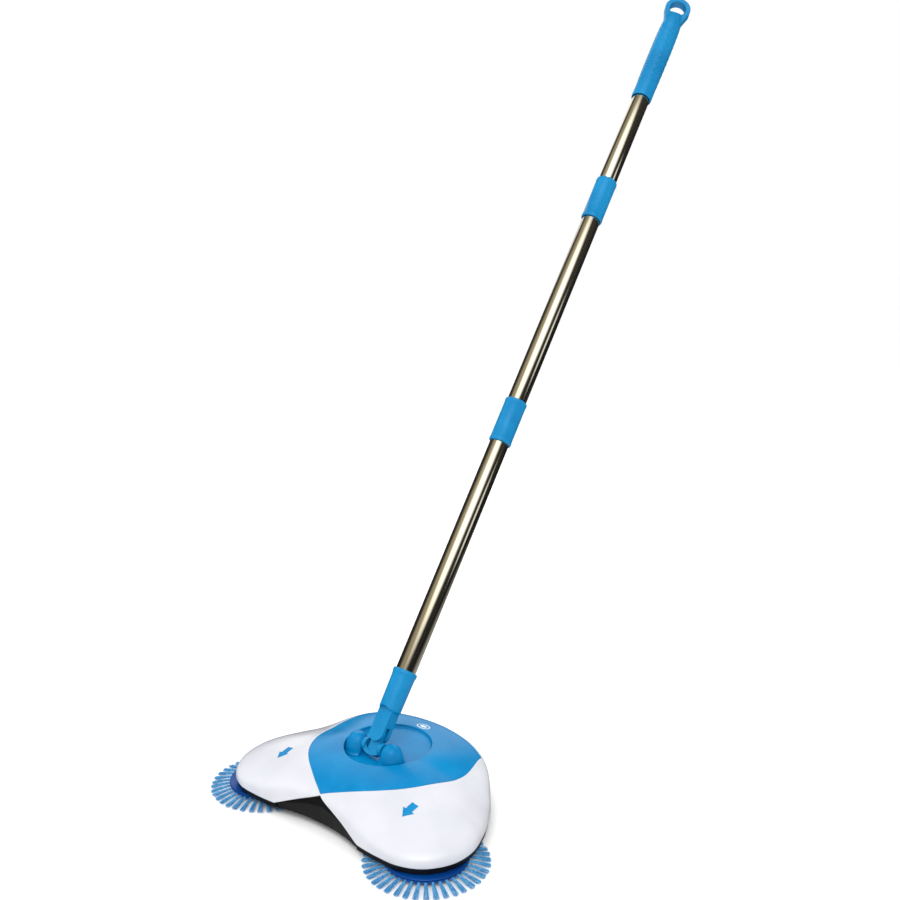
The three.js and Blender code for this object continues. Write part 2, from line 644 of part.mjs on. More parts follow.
function brushHub() {
  const profile = [[0, 3.4], [13, 3.4], [16, 5], [BRUSH.disc - 2.4, 4.4], [BRUSH.disc - 2.4, 6.2],
    [BRUSH.disc, 6.4], [BRUSH.disc, 7.6], [BRUSH.disc - 1.4, 7.6], [BRUSH.disc - 4, 6.8], [9, 6.8],
    [9, 7.7], [3.9, 7.7], [3.9, 21.4], [1.4, 21.4], [1.4, 12], [0, 12]];
  return lathe(profile, 30, 'z', [SPINDLE_X, 0, 0]);
}

// One closed body: a root ring under the disc's edge, with the tufts fanning out from it.
function brushBristles() {
  const root = BRUSH.disc - 2;
  const bodies = [ring(root, root + 1.9, 3.6, 5.9, 30)];
  for (let i = 0; i < BRUSH.tufts; i++) {
    const tuft = new THREE.CylinderGeometry(1.2, 2.4, 1, 3, 1);
    tuft.translate(0, -0.5, 0).scale(1, 1, 0.6);
    const start = new THREE.Vector3(root + 1, 0, 4.9);
    const end = new THREE.Vector3(BRUSH.tip, 0, 1.4);
    const along = end.clone().sub(start);
    tuft.scale(1, along.length(), 1);
    tuft.applyMatrix4(new THREE.Matrix4().makeBasis(
      new THREE.Vector3(0, 1, 0),
      along.clone().normalize().negate(),
      new THREE.Vector3(0, 1, 0).cross(along.clone().normalize().negate()),
    ));
    tuft.translate(start.x, start.y, start.z).rotateZ((2 * Math.PI * (i + 0.5)) / BRUSH.tufts);
    bodies.push(solid(tuft));
  }
  return moved(union(bodies), SPINDLE_X, 0);
}

function spindleBush() {
  const profile = [[4.2, BASE_Z - 0.2], [6.4, BASE_Z - 0.2], [6.4, BASE_TOP + 0.2], [8.4, BASE_TOP + 0.2],
    [8.4, 12.4], [4.2, 12.4], [4.2, BASE_Z - 0.2]];
  return lathe(profile, 20, 'z', [SPINDLE_X, 0, 0]);
}

function spindleScrew() {
  const profile = [[0, 13], [1.2, 13], [1.2, 21.7], [6, 21.7], [6, 22.6], [3.4, 24], [0, 24]];
  return lathe(profile, 14, 'z', [SPINDLE_X, 0, 0]);
}

function caseScrew(x, y) {
  const { shank, head } = SCREW;
  const profile = [[0, BASE_Z - 2], [head, BASE_Z - 1.6], [head, BASE_Z - 0.2], [shank, BASE_Z - 0.2],
    [shank, 22], [0, 23]];
  return lathe(profile, 12, 'z', [x, y, 0]);
}

function rollerCore() {
  const at = [0, ROLLER_Y, ROLLER.z];
  const end = ROLLER.half + 1.4;
  const stub = BEARING_X + 1;
  const profile = [[0, -TRAIN_X[1] - 0.6], [3.1, -TRAIN_X[1] - 0.6], [3.1, -end], [ROLLER.core, -end],
    [ROLLER.core, end], [3.1, end], [3.1, stub], [0, stub]];
  return lathe(profile, 20, 'x', at);
}

// Bristle strips wound round the core: a sleeve with thin fins that twist along it.
function rollerBristles() {
  const steps = 7;
  const sleeve = ROLLER.core + 1.2;
  const section = [];
  for (let row = 0; row < ROLLER.rows; row++) {
    const middle = (row / ROLLER.rows) * 360;
    section.push(...arc([0, 0], sleeve, middle - 38, middle - 9, 1));
    section.push(...arc([0, 0], ROLLER.radius, middle - 5, middle + 5, 1));
    section.push(...arc([0, 0], sleeve, middle + 9, middle + 38, 1));
  }
  const shape = new THREE.Shape(section.map(([x, y]) => new THREE.Vector2(x, y)));
  const length = ROLLER.half * 2;
  const geometry = new THREE.ExtrudeGeometry(shape, { depth: length, steps, bevelEnabled: false });
  const position = geometry.attributes.position;
  for (let i = 0; i < position.count; i++) {
    const point = new THREE.Vector3().fromBufferAttribute(position, i);
    point.applyAxisAngle(new THREE.Vector3(0, 0, 1), (point.z / length) * ROLLER.twist);
    position.setXYZ(i, point.x, point.y, point.z);
  }
  const fins = solid(geometry).subtract(rod(ROLLER.core + 0.2, -1, length + 1, 24));
  return onSide(fins, -ROLLER.half, ROLLER_Y, ROLLER.z);
}

function rollerBush() {
  return ring(3.4, 5, SIDE_WALL_X + 0.1, BEARING_X - 0.1, 16, 'x', [0, ROLLER_Y, ROLLER.z]);
}

function rearRoller() {
  const { x, y, radius, half } = REAR_ROLLER;
  const profile = [[1.8, x - half], [radius, x - half], [radius, x + half], [1.8, x + half],
    [1.8, x - half]];
  return lathe(profile, 18, 'x', [0, y, radius]);
}

function rearRollerPin() {
  const { x, y, radius, half } = REAR_ROLLER;
  return rod(1.4, x - half - 2.2, x + half + 2.2, 10, 'x', [0, y, radius]);
}

// ---------------------------------------------------------------- handle joint (handle's own frame)

function yoke() {
  const half = POST_INNER - 0.5;
  const shoulder = 4;
  const outer = arc([0, 0], 1, 180, 360, 12).map(([x, z]) => [x * half, z * 9.6]);
  const inner = arc([0, 0], 1, 360, 180, 12).map(([x, z]) => [x * EAR.inner, z * 5.2]);
  const bow = prismAlongY([[-half, shoulder], ...outer, [half, shoulder], [EAR.inner, shoulder], ...inner,
    [-EAR.inner, shoulder]], -3.9, 3.9);
  const ear = rod(EAR.radius, EAR.inner, half, 20, 'x');
  const tabTop = arc([0, SWING_AT], TAB.half, 0, 180, 8);
  const tabHalf = TAB.thickness / 2;
  const tab = prismAlongY([[-TAB.half, -7.5], [TAB.half, -7.5], ...tabTop], -tabHalf, tabHalf);
  const tiltBore = rod(PIN_R.tilt + PIN_R.clearance, EAR.inner - 1, half + 1, 12, 'x');
  const swingBore = rod(PIN_R.swing + PIN_R.clearance, -20, 20, 12, 'y', [0, 0, SWING_AT]);
  return union([bow, ear, mirrored(ear), tab]).subtract(union([tiltBore, mirrored(tiltBore), swingBore]));
}

function tiltPin() {
  return rod(PIN_R.tilt, EAR.inner + 0.6, POST_X + 0.6, 12, 'x');
}

// The swing pin goes in from behind, so that the tongue's front face stays whole.
function swingPin() {
  const deep = TONGUE.halfDepth;
  return rod(PIN_R.swing, -deep + 1.6, deep - 0.2, 12, 'y', [0, 0, SWING_AT]);
}

function socket() {
  const { bottom, top, seat } = SOCKET;
  const sleeve = lathe([[0, bottom - 3], [9, bottom - 3], [SLEEVE - 1, bottom], [SLEEVE - 0.4, top - 8],
    [SLEEVE - 0.1, top - 5], [SLEEVE + 0.4, top - 4], [SLEEVE + 0.4, top - 1], [SLEEVE - 0.4, top],
    [0, top]], 22);
  const { half, halfDepth: deep } = TONGUE;
  const foot = arc([0, SWING_AT], half, 180, 360, 12);
  const tongue = prismAlongY([...foot, [half, bottom], [-half, bottom]], -deep, deep);
  const slotHalf = TAB.thickness / 2 + 0.4;
  const slot = box([-20, 20], [-slotHalf, slotHalf], [0, SWING_AT + TAB.half + 1]);
  const scoop = arc([0, bottom - 7], half, 0, 180, 10);
  const scallop = prismAlongY([[-half, 0], [half, 0], ...scoop], -30, -deep);
  const bore = rod(TUBE.outer + GAP, seat, top + 5, 22);
  const pinBore = rod(PIN_R.swing + PIN_R.clearance, -deep + 1.4, 20, 12, 'y', [0, 0, SWING_AT]);
  return union([sleeve, tongue]).subtract(union([slot, scallop, bore, pinBore]));
}

// ---------------------------------------------------------------- handle

function tube(from, to) {
  return ring(TUBE.inner, TUBE.outer, from, to, 24);
}

function connector([from, to]) {
  const middle = (from + to) / 2;
  const r = SLEEVE;
  const bore = TUBE.outer + GAP;
  const stub = TUBE.inner - GAP;
  const hollow = stub - 2;
  const reach = 14;
  return lathe([
    [hollow, middle - reach], [stub, middle - reach], [stub, middle - 1], [bore, middle - 1], [bore, from],
    [r - 0.8, from], [r, from + 1.5], [r, to - 1.5], [r - 0.8, to],
    [bore, to], [bore, middle + 1], [stub, middle + 1], [stub, middle + reach], [hollow, middle + reach],
    [hollow, middle - reach],
  ], 20);
}

function grip() {
  const { bottom, top, loop, loopHole, loopTurn } = GRIP;
  const bore = TUBE.outer + GAP;
  const body = lathe([[0, bottom], [12.7, bottom], [12.9, bottom + 3], [12.7, bottom + 15],
    [13.2, bottom + 46], [13.3, bottom + 83], [12.6, bottom + 117], [11.2, bottom + 128],
    [9.6, bottom + 137], [0, bottom + 139]], 22);
  const outer = loopOutline(loop, top - loop, 16.4);
  const eye = prismAlongY(outer, -6, 6);
  const turned = solid(geometryOf(eye).rotateZ(loopTurn));
  const hole = rod(loopHole, -30, 30, 24, 'y', [0, 0, loop]);
  const turnedHole = solid(geometryOf(hole).rotateZ(loopTurn));
  const socketBore = rod(bore, bottom - 1, bottom + 16, 22);
  const core = rod(9.2, bottom, bottom + 114, 16);
  return union([body, turned]).subtract(union([socketBore, core])).subtract(turnedHole);
}

function loopOutline(centre, rise, half) {
  const crown = arc([0, 0], 1, -20, 200, 16).map(([x, z]) => [x * half, centre + z * rise]);
  return [[9.5, centre - 26], ...crown, [-9.5, centre - 26]];
}

// ---------------------------------------------------------------- assembly

const sweeper = new THREE.Group();
const handle = new THREE.Group();
handle.position.set(0, PIVOT.y, PIVOT.z);
handle.rotation.x = -LEAN;
sweeper.add(handle);

function place(group, name, body, look) {
  const mesh = new THREE.Mesh(geometryOf(body), look);
  mesh.name = name;
  group.add(mesh);
}

function placePair(group, name, body, look) {
  place(group, `${name}_right`, body, look);
  place(group, `${name}_left`, mirrored(body), look);
}

place(sweeper, 'top_shell', topShell(), WHITE);
place(sweeper, 'centre_cover', centreCover(), BLUE);
place(sweeper, 'base_plate', basePlate(), BLACK);
place(sweeper, 'roller_hood', rollerHood(), SMOKE);
CASE_SCREWS.forEach(([x, y], i) => placePair(sweeper, `case_screw_${i + 1}`, caseScrew(x, y), ZINC));

place(sweeper, 'dust_drawer', dustDrawer(), SMOKE);
place(sweeper, 'drawer_latch', latchButton(), BLUE);

place(sweeper, 'wheel_hub_right', wheelHub(false), NATURAL);
place(sweeper, 'wheel_hub_left', mirrored(wheelHub(true)), NATURAL);
placePair(sweeper, 'wheel_tyre', tyre(), RUBBER);
placePair(sweeper, 'wheel_axle', wheelAxle(), ZINC);
placePair(sweeper, 'axle_clip', axleClip(), ZINC);
placePair(sweeper, 'drive_pinion', pinionGear(), NATURAL);
placePair(sweeper, 'inner_idler', idlerGear(TRAIN.innerIdler, PHASE.innerIdler), NATURAL);
placePair(sweeper, 'outer_idler', idlerGear(TRAIN.outerIdler, PHASE.outerIdler), NATURAL);
placePair(sweeper, 'spindle_gear', spindleGear(), NATURAL);
placePair(sweeper, 'side_brush_hub', brushHub(), DEEP_BLUE);
placePair(sweeper, 'side_brush_bristles', brushBristles(), BRISTLE);
placePair(sweeper, 'spindle_bush', spindleBush(), NATURAL);
placePair(sweeper, 'spindle_screw', spindleScrew(), ZINC);

place(sweeper, 'roller_core', rollerCore(), BLUE);
place(sweeper, 'roller_bristles', rollerBristles(), BRISTLE);
place(sweeper, 'roller_gear', mirrored(rollerGear()), NATURAL);
place(sweeper, 'roller_idler', mirrored(trainIdler().gear), NATURAL);
placePair(sweeper, 'roller_bush', rollerBush(), NATURAL);
placePair(sweeper, 'rear_roller', rearRoller(), BLACK);
placePair(sweeper, 'rear_roller_pin', rearRollerPin(), ZINC);

place(handle, 'joint_yoke', yoke(), BLUE);
placePair(handle, 'tilt_pin', tiltPin(), ZINC);
place(handle, 'swing_pin', swingPin(), ZINC);
place(handle, 'handle_socket', socket(), BLUE);

const joins = CONNECTORS.map(([from, to]) => (from + to) / 2);
place(handle, 'lower_tube', tube(SOCKET.seat + 1, joins[0] - 1.6), STEEL);
place(handle, 'middle_tube', tube(joins[0] + 1.6, joins[1] - 1.6), STEEL);
place(handle, 'upper_tube', tube(joins[1] + 1.6, GRIP.bottom + 15), STEEL);
place(handle, 'lower_connector', connector(CONNECTORS[0]), BLUE);
place(handle, 'upper_connector', connector(CONNECTORS[1]), BLUE);
place(handle, 'grip', grip(), BLUE);

const bounds = new THREE.Box3().setFromObject(sweeper, true);
sweeper.position.y = -(bounds.min.y + bounds.max.y) / 2;

export default sweeper;
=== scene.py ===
"""Visual model of a push-along carpet sweeper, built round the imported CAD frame.

Lengths are millimetres on the drawing, whose Y = 0 is the line through the two side brush spindles, and
become metres in the row frame when a piece is placed. The head drives towards -Y.
"""

import math
import random

import bmesh
import bpy
import numpy as np
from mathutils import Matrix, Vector


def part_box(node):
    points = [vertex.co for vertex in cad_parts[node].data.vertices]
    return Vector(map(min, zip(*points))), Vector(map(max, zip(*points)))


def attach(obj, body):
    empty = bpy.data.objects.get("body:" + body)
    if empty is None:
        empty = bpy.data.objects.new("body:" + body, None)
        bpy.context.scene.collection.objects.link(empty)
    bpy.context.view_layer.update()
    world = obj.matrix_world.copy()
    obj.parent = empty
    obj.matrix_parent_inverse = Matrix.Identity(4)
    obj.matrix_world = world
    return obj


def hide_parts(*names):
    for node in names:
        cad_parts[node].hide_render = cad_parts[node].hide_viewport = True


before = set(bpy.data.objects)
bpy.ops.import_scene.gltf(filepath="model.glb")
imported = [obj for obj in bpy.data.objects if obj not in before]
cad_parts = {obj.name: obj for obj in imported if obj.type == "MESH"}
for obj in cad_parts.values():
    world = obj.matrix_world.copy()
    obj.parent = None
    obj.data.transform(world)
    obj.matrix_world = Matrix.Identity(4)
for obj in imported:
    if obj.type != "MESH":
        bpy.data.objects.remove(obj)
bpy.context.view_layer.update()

MM = 0.001
hub_low, hub_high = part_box("side_brush_hub_right")
ROW_Y = (hub_low.y + hub_high.y) / 2  # where the drawing's Y = 0 lies in the row frame

# ------------------------------------------------------------------ driving dimensions, as in the CAD

GAP = 0.35
WALL = 2.4
CROWN = np.array([0.0, 55.0])
CROWN_Z = 58.0
RIM_Z = 13.7
RIM = [(0, -33), (32, -34.5), (60, -39), (86, -40.5), (112, -38.5), (134, -27), (149, -4), (151, 22),
       (143, 47), (130, 74), (111, 101), (85, 126), (42, 141.5), (0, 146)]
SHOULDERS = [(-90, 14), (-65, 9), (-45, 5), (-30, 4.5), (0, 2.9), (15, 2.8), (28, 5), (45, 12), (90, 14)]
ARCH_Z = 40.5
ARCH_HALF = 60.0
MOUTH_DEPTH_Y = -25.0
COVER_SIDE = [(0, -29), (20, -18), (54, 5), (70, 23), (82, 48), (90, 85), (81, 124)]
COVER_REAR_Y = 142.0
DISH_Y, DISH_R, DISH_FLOOR, DISH_TILT = 68.0, 46.0, 51.2, 0.055
BIN_HALF, BIN_TOP = 51.0, 38.5
PIVOT_Y, PIVOT_Z = 48.0, 61.0
LEAN = math.radians(35.8)
POST_X, POST_INNER = 24.0, 14.0
SPINDLE_X = 113.0
DISC_R, TIP_R, TUFTS = 41.0, 62.0, 40
SWING_AT = 14.0
TUBE_R, TUBE_BORE = 11.0, 10.65
SLEEVE_R = 13.0
SOCKET_BOTTOM, SOCKET_SEAT = 40.0, 57.0
CONNECTORS = {"lower": (356, 410), "upper": (663, 720.5)}
GRIP_BOTTOM, GRIP_TOP, LOOP_AT, LOOP_HOLE, LOOP_TURN = 849.0, 1011.0, 995.0, 10.5, 0.62
ROLLER_Y, ROLLER_Z, ROLLER_CORE, ROLLER_R, ROLLER_HALF = 22.5, 19.0, 9.0, 18.4, 47.5


# ------------------------------------------------------------------ materials

def srgb(r, g, b):
    """An 8-bit screen colour as the linear colour that shaders take."""
    def linear(c):
        return ((c / 255 + 0.055) / 1.055) ** 2.4 if c > 10 else c / 255 / 12.92

    return (linear(r), linear(g), linear(b), 1.0)


class Finish:
    """A Principled material whose colour, roughness and bump come from noise in object space."""

    def __init__(self, name):
        self.material = bpy.data.materials.new(name)
        self.material.use_nodes = True
        self.nodes = self.material.node_tree.nodes
        self.links = self.material.node_tree.links
        self.shader = self.nodes["Principled BSDF"]
        self.place = self.nodes.new("ShaderNodeTexCoord").outputs["Object"]

    def set(self, **values):
        for key, value in values.items():
            self.shader.inputs[key.replace("_", " ")].default_value = value
        return self

    def mapped(self, scale, rotation=(0, 0, 0)):
        turn = self.nodes.new("ShaderNodeMapping")
        turn.vector_type = "POINT"
        turn.inputs["Rotation"].default_value = rotation
        self.links.new(self.place, turn.inputs["Vector"])
        stretch = self.nodes.new("ShaderNodeMapping")
        stretch.inputs["Scale"].default_value = scale
        self.links.new(turn.outputs["Vector"], stretch.inputs["Vector"])
        return stretch.outputs["Vector"]

    def noise(self, scale, detail=3.0, vector=None):
        noise = self.nodes.new("ShaderNodeTexNoise")
        noise.inputs["Scale"].default_value = scale
        noise.inputs["Detail"].default_value = detail
        self.links.new(vector or self.place, noise.inputs["Vector"])
        return noise.outputs["Fac"]

    def ramp(self, source, low, high, start=0.35, end=0.65):
        ramp = self.nodes.new("ShaderNodeValToRGB")
        ramp.color_ramp.elements[0].position = start
        ramp.color_ramp.elements[0].color = low
        ramp.color_ramp.elements[1].position = end
        ramp.color_ramp.elements[1].color = high
        self.links.new(source, ramp.inputs["Fac"])
        return ramp.outputs["Color"]

    def colour(self, source, low, high, start=0.35, end=0.65):
        self.links.new(self.ramp(source, low, high, start, end), self.shader.inputs["Base Color"])
        return self

    def roughness(self, source, low, high):
        ranged = self.nodes.new("ShaderNodeMapRange")
        ranged.inputs["From Min"].default_value = 0.3
        ranged.inputs["From Max"].default_value = 0.7
        ranged.inputs["To Min"].default_value = low
        ranged.inputs["To Max"].default_value = high
        self.links.new(source, ranged.inputs["Value"])
        self.links.new(ranged.outputs["Result"], self.shader.inputs["Roughness"])
        return self

    def bump(self, source, strength, distance):
        bump = self.nodes.new("ShaderNodeBump")
        bump.inputs["Strength"].default_value = strength
        bump.inputs["Distance"].default_value = distance
        self.links.new(source, bump.inputs["Height"])
        self.links.new(bump.outputs["Normal"], self.shader.inputs["Normal"])
        return self


def moulded(name, low, high, rough, grain, bump, depth=0.00004, coat=0.0, shine=0.5):
    """Injection-moulded plastic: faint flow tint, uneven gloss and a fine grain."""
    finish = Finish(name)
    finish.colour(finish.noise(26, 2), low, high)
    finish.roughness(finish.noise(75, 4), *rough)
    finish.bump(finish.noise(grain, 2), bump, depth)
    return finish.set(Coat_Weight=coat, Coat_Roughness=0.06, Specular_IOR_Level=shine)


WHITE = moulded("gloss_white", srgb(202, 203, 210), srgb(208, 209, 215), (0.14, 0.2),
                grain=260, bump=0.03, depth=0.00006, coat=0.4)
BLUE = moulded("blue_plastic", srgb(0, 118, 174), srgb(2, 128, 184), (0.2, 0.3),
               grain=1500, bump=0.06, depth=0.00002, coat=0.05, shine=0.22)
HANDLE_BLUE = moulded("handle_blue_plastic", srgb(2, 116, 169), srgb(8, 127, 180), (0.26, 0.36),
                      grain=1800, bump=0.15, depth=0.00003, shine=0.3)
DEEP_BLUE = moulded("deep_blue_plastic", srgb(4, 58, 128), srgb(8, 70, 146), (0.3, 0.42),
                    grain=1200, bump=0.15, shine=0.3)
BLACK = moulded("black_plastic", srgb(11, 11, 13), srgb(17, 17, 19), (0.34, 0.48),
                grain=1600, bump=0.25, shine=0.3)
SMOKE = moulded("smoke_plastic", srgb(34, 36, 40), srgb(42, 44, 49), (0.2, 0.34),
                grain=1200, bump=0.2, coat=0.15)
NATURAL = moulded("natural_nylon", srgb(222, 214, 194), srgb(234, 228, 212), (0.42, 0.56),
                  grain=900, bump=0.25, depth=0.00006)
RUBBER = moulded("rubber", srgb(36, 36, 38), srgb(48, 48, 50), (0.74, 0.9),
                 grain=1100, bump=0.6, depth=0.00012)
PRINT = moulded("printed_blue", srgb(4, 122, 178), srgb(10, 132, 188), (0.3, 0.4),
                grain=1600, bump=0.1, shine=0.3)
PRINT_WHITE = moulded("printed_white", srgb(214, 226, 236), srgb(232, 238, 244), (0.3, 0.4),
                      grain=1600, bump=0.1)


def filament(name, low, high):
    """Nylon filament: each one a little lighter or darker than its neighbours, and slightly clear."""
    finish = Finish(name)
    finish.colour(finish.noise(700, 2), low, high, 0.3, 0.7)
    finish.roughness(finish.noise(300, 2), 0.3, 0.45)
    return finish.set(Subsurface_Weight=0.0, Transmission_Weight=0.18, IOR=1.5)


BRISTLE = filament("bristle_nylon", srgb(14, 108, 190), srgb(112, 200, 240))


def steel(name, low, high):
    """Thin polished stainless tube, with faint drawing lines along it. Its warm tint is painted reflection: it
    stands for warm surroundings mirrored in the tube, while the steel itself is neutral.
    """
    finish = Finish(name)
    along = finish.mapped((900, 900, 7), (LEAN, 0, 0))
    lines = finish.noise(1.0, 3, along)
    finish.colour(lines, low, high)
    finish.roughness(lines, 0.07, 0.16)
    finish.bump(lines, 0.05, 0.00002)
    return finish.set(Metallic=1.0)


# The warm colours given here are painted reflection of warm surroundings, not the steel's own colour.
STEEL = steel("stainless_tube", srgb(214, 206, 186), srgb(232, 226, 208))


def plated(name):
    finish = Finish(name)
    finish.colour(finish.noise(260, 4), srgb(168, 170, 174), srgb(196, 198, 202))
    finish.roughness(finish.noise(420, 4), 0.26, 0.44)
    finish.bump(finish.noise(900, 2), 0.2, 0.00003)
    return finish.set(Metallic=1.0)


ZINC = plated("zinc_plate")


# ------------------------------------------------------------------ solids on the drawing

def blank(name, vertices, faces):
    """A mesh object in drawing millimetres."""
    mesh = bpy.data.meshes.new(name)
    mesh.from_pydata(np.asarray(vertices, float).tolist(), [], faces)
    mesh.update()
    obj = bpy.data.objects.new(name, mesh)
    bpy.context.scene.collection.objects.link(obj)
    return obj


def grid(points, close_rows=True, close_columns=True):
    """Vertices and quads of a rows x columns net. Rows run round, columns follow each profile."""
    rows, columns = points.shape[:2]
    faces = []
    for i in range(rows if close_rows else rows - 1):
        for j in range(columns if close_columns else columns - 1):
            i2, j2 = (i + 1) % rows, (j + 1) % columns
            faces.append((i * columns + j, i2 * columns + j, i2 * columns + j2, i * columns + j2))
    return points.reshape(-1, 3), faces


def turned(profile, sides, axis="z", at=(0, 0, 0)):
    """A solid of revolution from [radius, height] corners that start and end on the axis or meet."""
    closed = tuple(profile[0]) == tuple(profile[-1])
    corners = profile[:-1] if closed else profile
    vertices, rings = [], []
    for radius, height in corners:
        if radius < 1e-6:
            rings.append([len(vertices)] * sides)
            vertices.append((0, 0, height))
            continue
        rings.append(list(range(len(vertices), len(vertices) + sides)))
        for k in range(sides):
            angle = 2 * math.pi * k / sides
            vertices.append((radius * math.cos(angle), radius * math.sin(angle), height))
    faces = []
    pairs = list(zip(rings, rings[1:])) + ([(rings[-1], rings[0])] if closed else [])
    for low, high in pairs:
        for k in range(sides):
            corner = [low[k], low[(k + 1) % sides], high[(k + 1) % sides], high[k]]
            face = list(dict.fromkeys(corner))
            if len(face) > 2:
                faces.append(face)
    points = np.array(vertices)
    if axis == "x":
        points = points[:, [2, 0, 1]]
    if axis == "y":
        points = points[:, [1, 2, 0]]
    return blank("turned", points + np.array(at), faces)


def rod(radius, start, end, sides=32, axis="z", at=(0, 0, 0)):
    return turned([(0, start), (radius, start), (radius, end), (0, end)], sides, axis, at)


def block(x, y, z):
    corners = [(a, b, c) for a in x for b in y for c in z]
    faces = [(0, 1, 3, 2), (4, 6, 7, 5), (0, 4, 5, 1), (2, 3, 7, 6), (0, 2, 6, 4), (1, 5, 7, 3)]
    return blank("block", corners, faces)


def prism(outline, start, end, axis="z"):
    """An outline drawn anticlockwise across an axis, drawn out along that axis."""
    count = len(outline)
    order = {"z": (0, 1, 2), "y": (0, 2, 1), "x": (2, 0, 1)}[axis]
    points = []
    for height in (start, end):
        for a, b in outline:
            raw = (a, b, height)
            points.append(tuple(raw[k] for k in order))
    sides = [(k, (k + 1) % count, count + (k + 1) % count, count + k) for k in range(count)]
    faces = [tuple(range(count))[::-1], tuple(range(count, 2 * count)), *sides]
    if axis == "y":
        faces = [face[::-1] for face in faces]
    return blank("prism", points, faces)


def arc(centre, radius, start, end, steps):
    angles = np.radians(np.linspace(start, end, steps + 1))
    return [(centre[0] + radius * math.cos(a), centre[1] + radius * math.sin(a)) for a in angles]


def settle(obj):
    """Applies an object's modifiers."""
    graph = bpy.context.evaluated_depsgraph_get()
    graph.update()
    mesh = bpy.data.meshes.new_from_object(obj.evaluated_get(graph))
    obj.modifiers.clear()
    old = obj.data
    obj.data = mesh
    bpy.data.meshes.remove(old)
    return obj


def combine(base, others, operation):
    for other in others:
        step = base.modifiers.new("step", "BOOLEAN")
        step.operation = operation
        step.solver = "MANIFOLD"
        step.object = other
    settle(base)
    for other in others:
        bpy.data.objects.remove(other)
    return base


def union(base, *others):
    return combine(base, others, "UNION")


def cut(base, *others):
    return combine(base, others, "DIFFERENCE")


def mirrored(obj):
    """A copy on the other side of the middle plane."""
    mesh = obj.data
    points = np.array([v.co for v in mesh.vertices])
    points[:, 0] *= -1
    return blank("mirrored", points, [tuple(p.vertices)[::-1] for p in mesh.polygons])


def remoulded(obj, voxel, passes):
    """Remeshes a solid evenly and relaxes it, which leaves a small fillet on every edge."""
    even = obj.modifiers.new("even", "REMESH")
    even.mode = "VOXEL"
    even.voxel_size = voxel
    relax = obj.modifiers.new("relax", "SMOOTH")
    relax.factor = 0.5
    relax.iterations = passes
    return settle(obj)


def in_handle(points):
    """From the handle's own frame, whose Z runs up the handle from the tilt pivot, to the drawing."""
    x, y, z = np.asarray(points, float).T
    c, s = math.cos(LEAN), math.sin(LEAN)
    return np.stack([x, PIVOT_Y + y * c + z * s, PIVOT_Z + z * c - y * s], 1)


def place(obj, name, finish, body, replaces=(), handle=False, sharp=32):
    mesh = obj.data
    points = np.array([v.co for v in mesh.vertices])
    if handle:
        points = in_handle(points)
    points[:, 1] += ROW_Y / MM
    mesh.vertices.foreach_set("co", (points * MM).astype(np.float32).ravel())
    mesh.update()
    mesh.materials.clear()
    mesh.materials.append(finish.material)
    mesh.shade_smooth()
    mesh.set_sharp_from_angle(angle=math.radians(sharp))
    obj.name = name
    mesh.name = name
    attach(obj, body)
    if replaces:
        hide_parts(*replaces)
    return obj


# ------------------------------------------------------------------ head surface

def spline(points, closed, steps):
    """Centripetal Catmull-Rom curve through points."""
    p = [np.array(q, float) for q in points]
    if closed:
        p = [p[-1], *p, p[0], p[1]]
    else:
        p = [2 * p[0] - p[1], *p, 2 * p[-1] - p[-2]]
    out = []
    for a, b, c, d in zip(p, p[1:], p[2:], p[3:]):
        k0, k1, k2 = (max(np.linalg.norm(v) ** 0.5, 1e-4) for v in (b - a, c - b, d - c))
        m1 = ((b - a) / k0 - (c - a) / (k0 + k1) + (c - b) / k1) * k1
        m2 = ((c - b) / k1 - (d - b) / (k1 + k2) + (d - c) / k2) * k1
        for t in np.arange(steps) / steps:
            out.append((2 * t**3 - 3 * t**2 + 1) * b + (t**3 - 2 * t**2 + t) * m1
                       + (3 * t**2 - 2 * t**3) * c + (t**3 - t**2) * m2)
    if not closed:
        out.append(p[-2])
    return np.array(out)


def mirror_loop(half):
    """A closed outline from its right half, which starts and ends on the middle plane."""
    left = [(-x, y) for x, y in half[1:-1]][::-1]
    return [tuple(q) for q in half] + left


def inset(points, distance):
    points = np.asarray(points, float)
    step = np.roll(points, -1, 0) - np.roll(points, 1, 0)
    step /= np.linalg.norm(step, axis=1)[:, None]
    return points + distance * np.stack([-step[:, 1], step[:, 0]], 1)


RIM_LOOP = spline(mirror_loop(RIM), True, 24)


def cover_loop():
    side = spline(COVER_SIDE, False, 20)
    t = np.linspace(0, 1, 25)[1:, None]
    corner, pull, middle = side[-1], np.array([40, COVER_REAR_Y]), np.array([0, COVER_REAR_Y])
    rear = (1 - t) ** 2 * corner + 2 * t * (1 - t) * pull + t**2 * middle
    return np.array(mirror_loop(np.vstack([side, rear])))


COVER_LOOP = cover_loop()


class Polar:
    """An outline as radius against direction from a centre."""

    def __init__(self, outline, centre):
        offset = np.asarray(outline) - centre
        angle = np.arctan2(offset[:, 1], offset[:, 0])
        order = np.argsort(angle)
        angle, radius = angle[order], np.linalg.norm(offset, axis=1)[order]
        self.angle = np.concatenate([angle - 2 * math.pi, angle, angle + 2 * math.pi])
        self.radius = np.tile(radius, 3)

    def __call__(self, angle):
        return np.interp(angle, self.angle, self.radius)


rims = {}


def rim_radius(angle, distance):
    key = round(float(distance), 3)
    if key not in rims:
        rims[key] = Polar(inset(RIM_LOOP, distance), CROWN)
    return rims[key](angle)


def shoulder(angle):
    """How square the shoulder is in a direction from the crown, eased where the table bends."""
    total = 0
    for shift in np.radians(np.linspace(-7, 7, 9)):
        a = np.asarray(angle) + shift
        degrees = np.degrees(np.arctan2(np.sin(a), np.abs(np.cos(a))))
        total = total + np.interp(degrees, *zip(*SHOULDERS))
    return total / 9


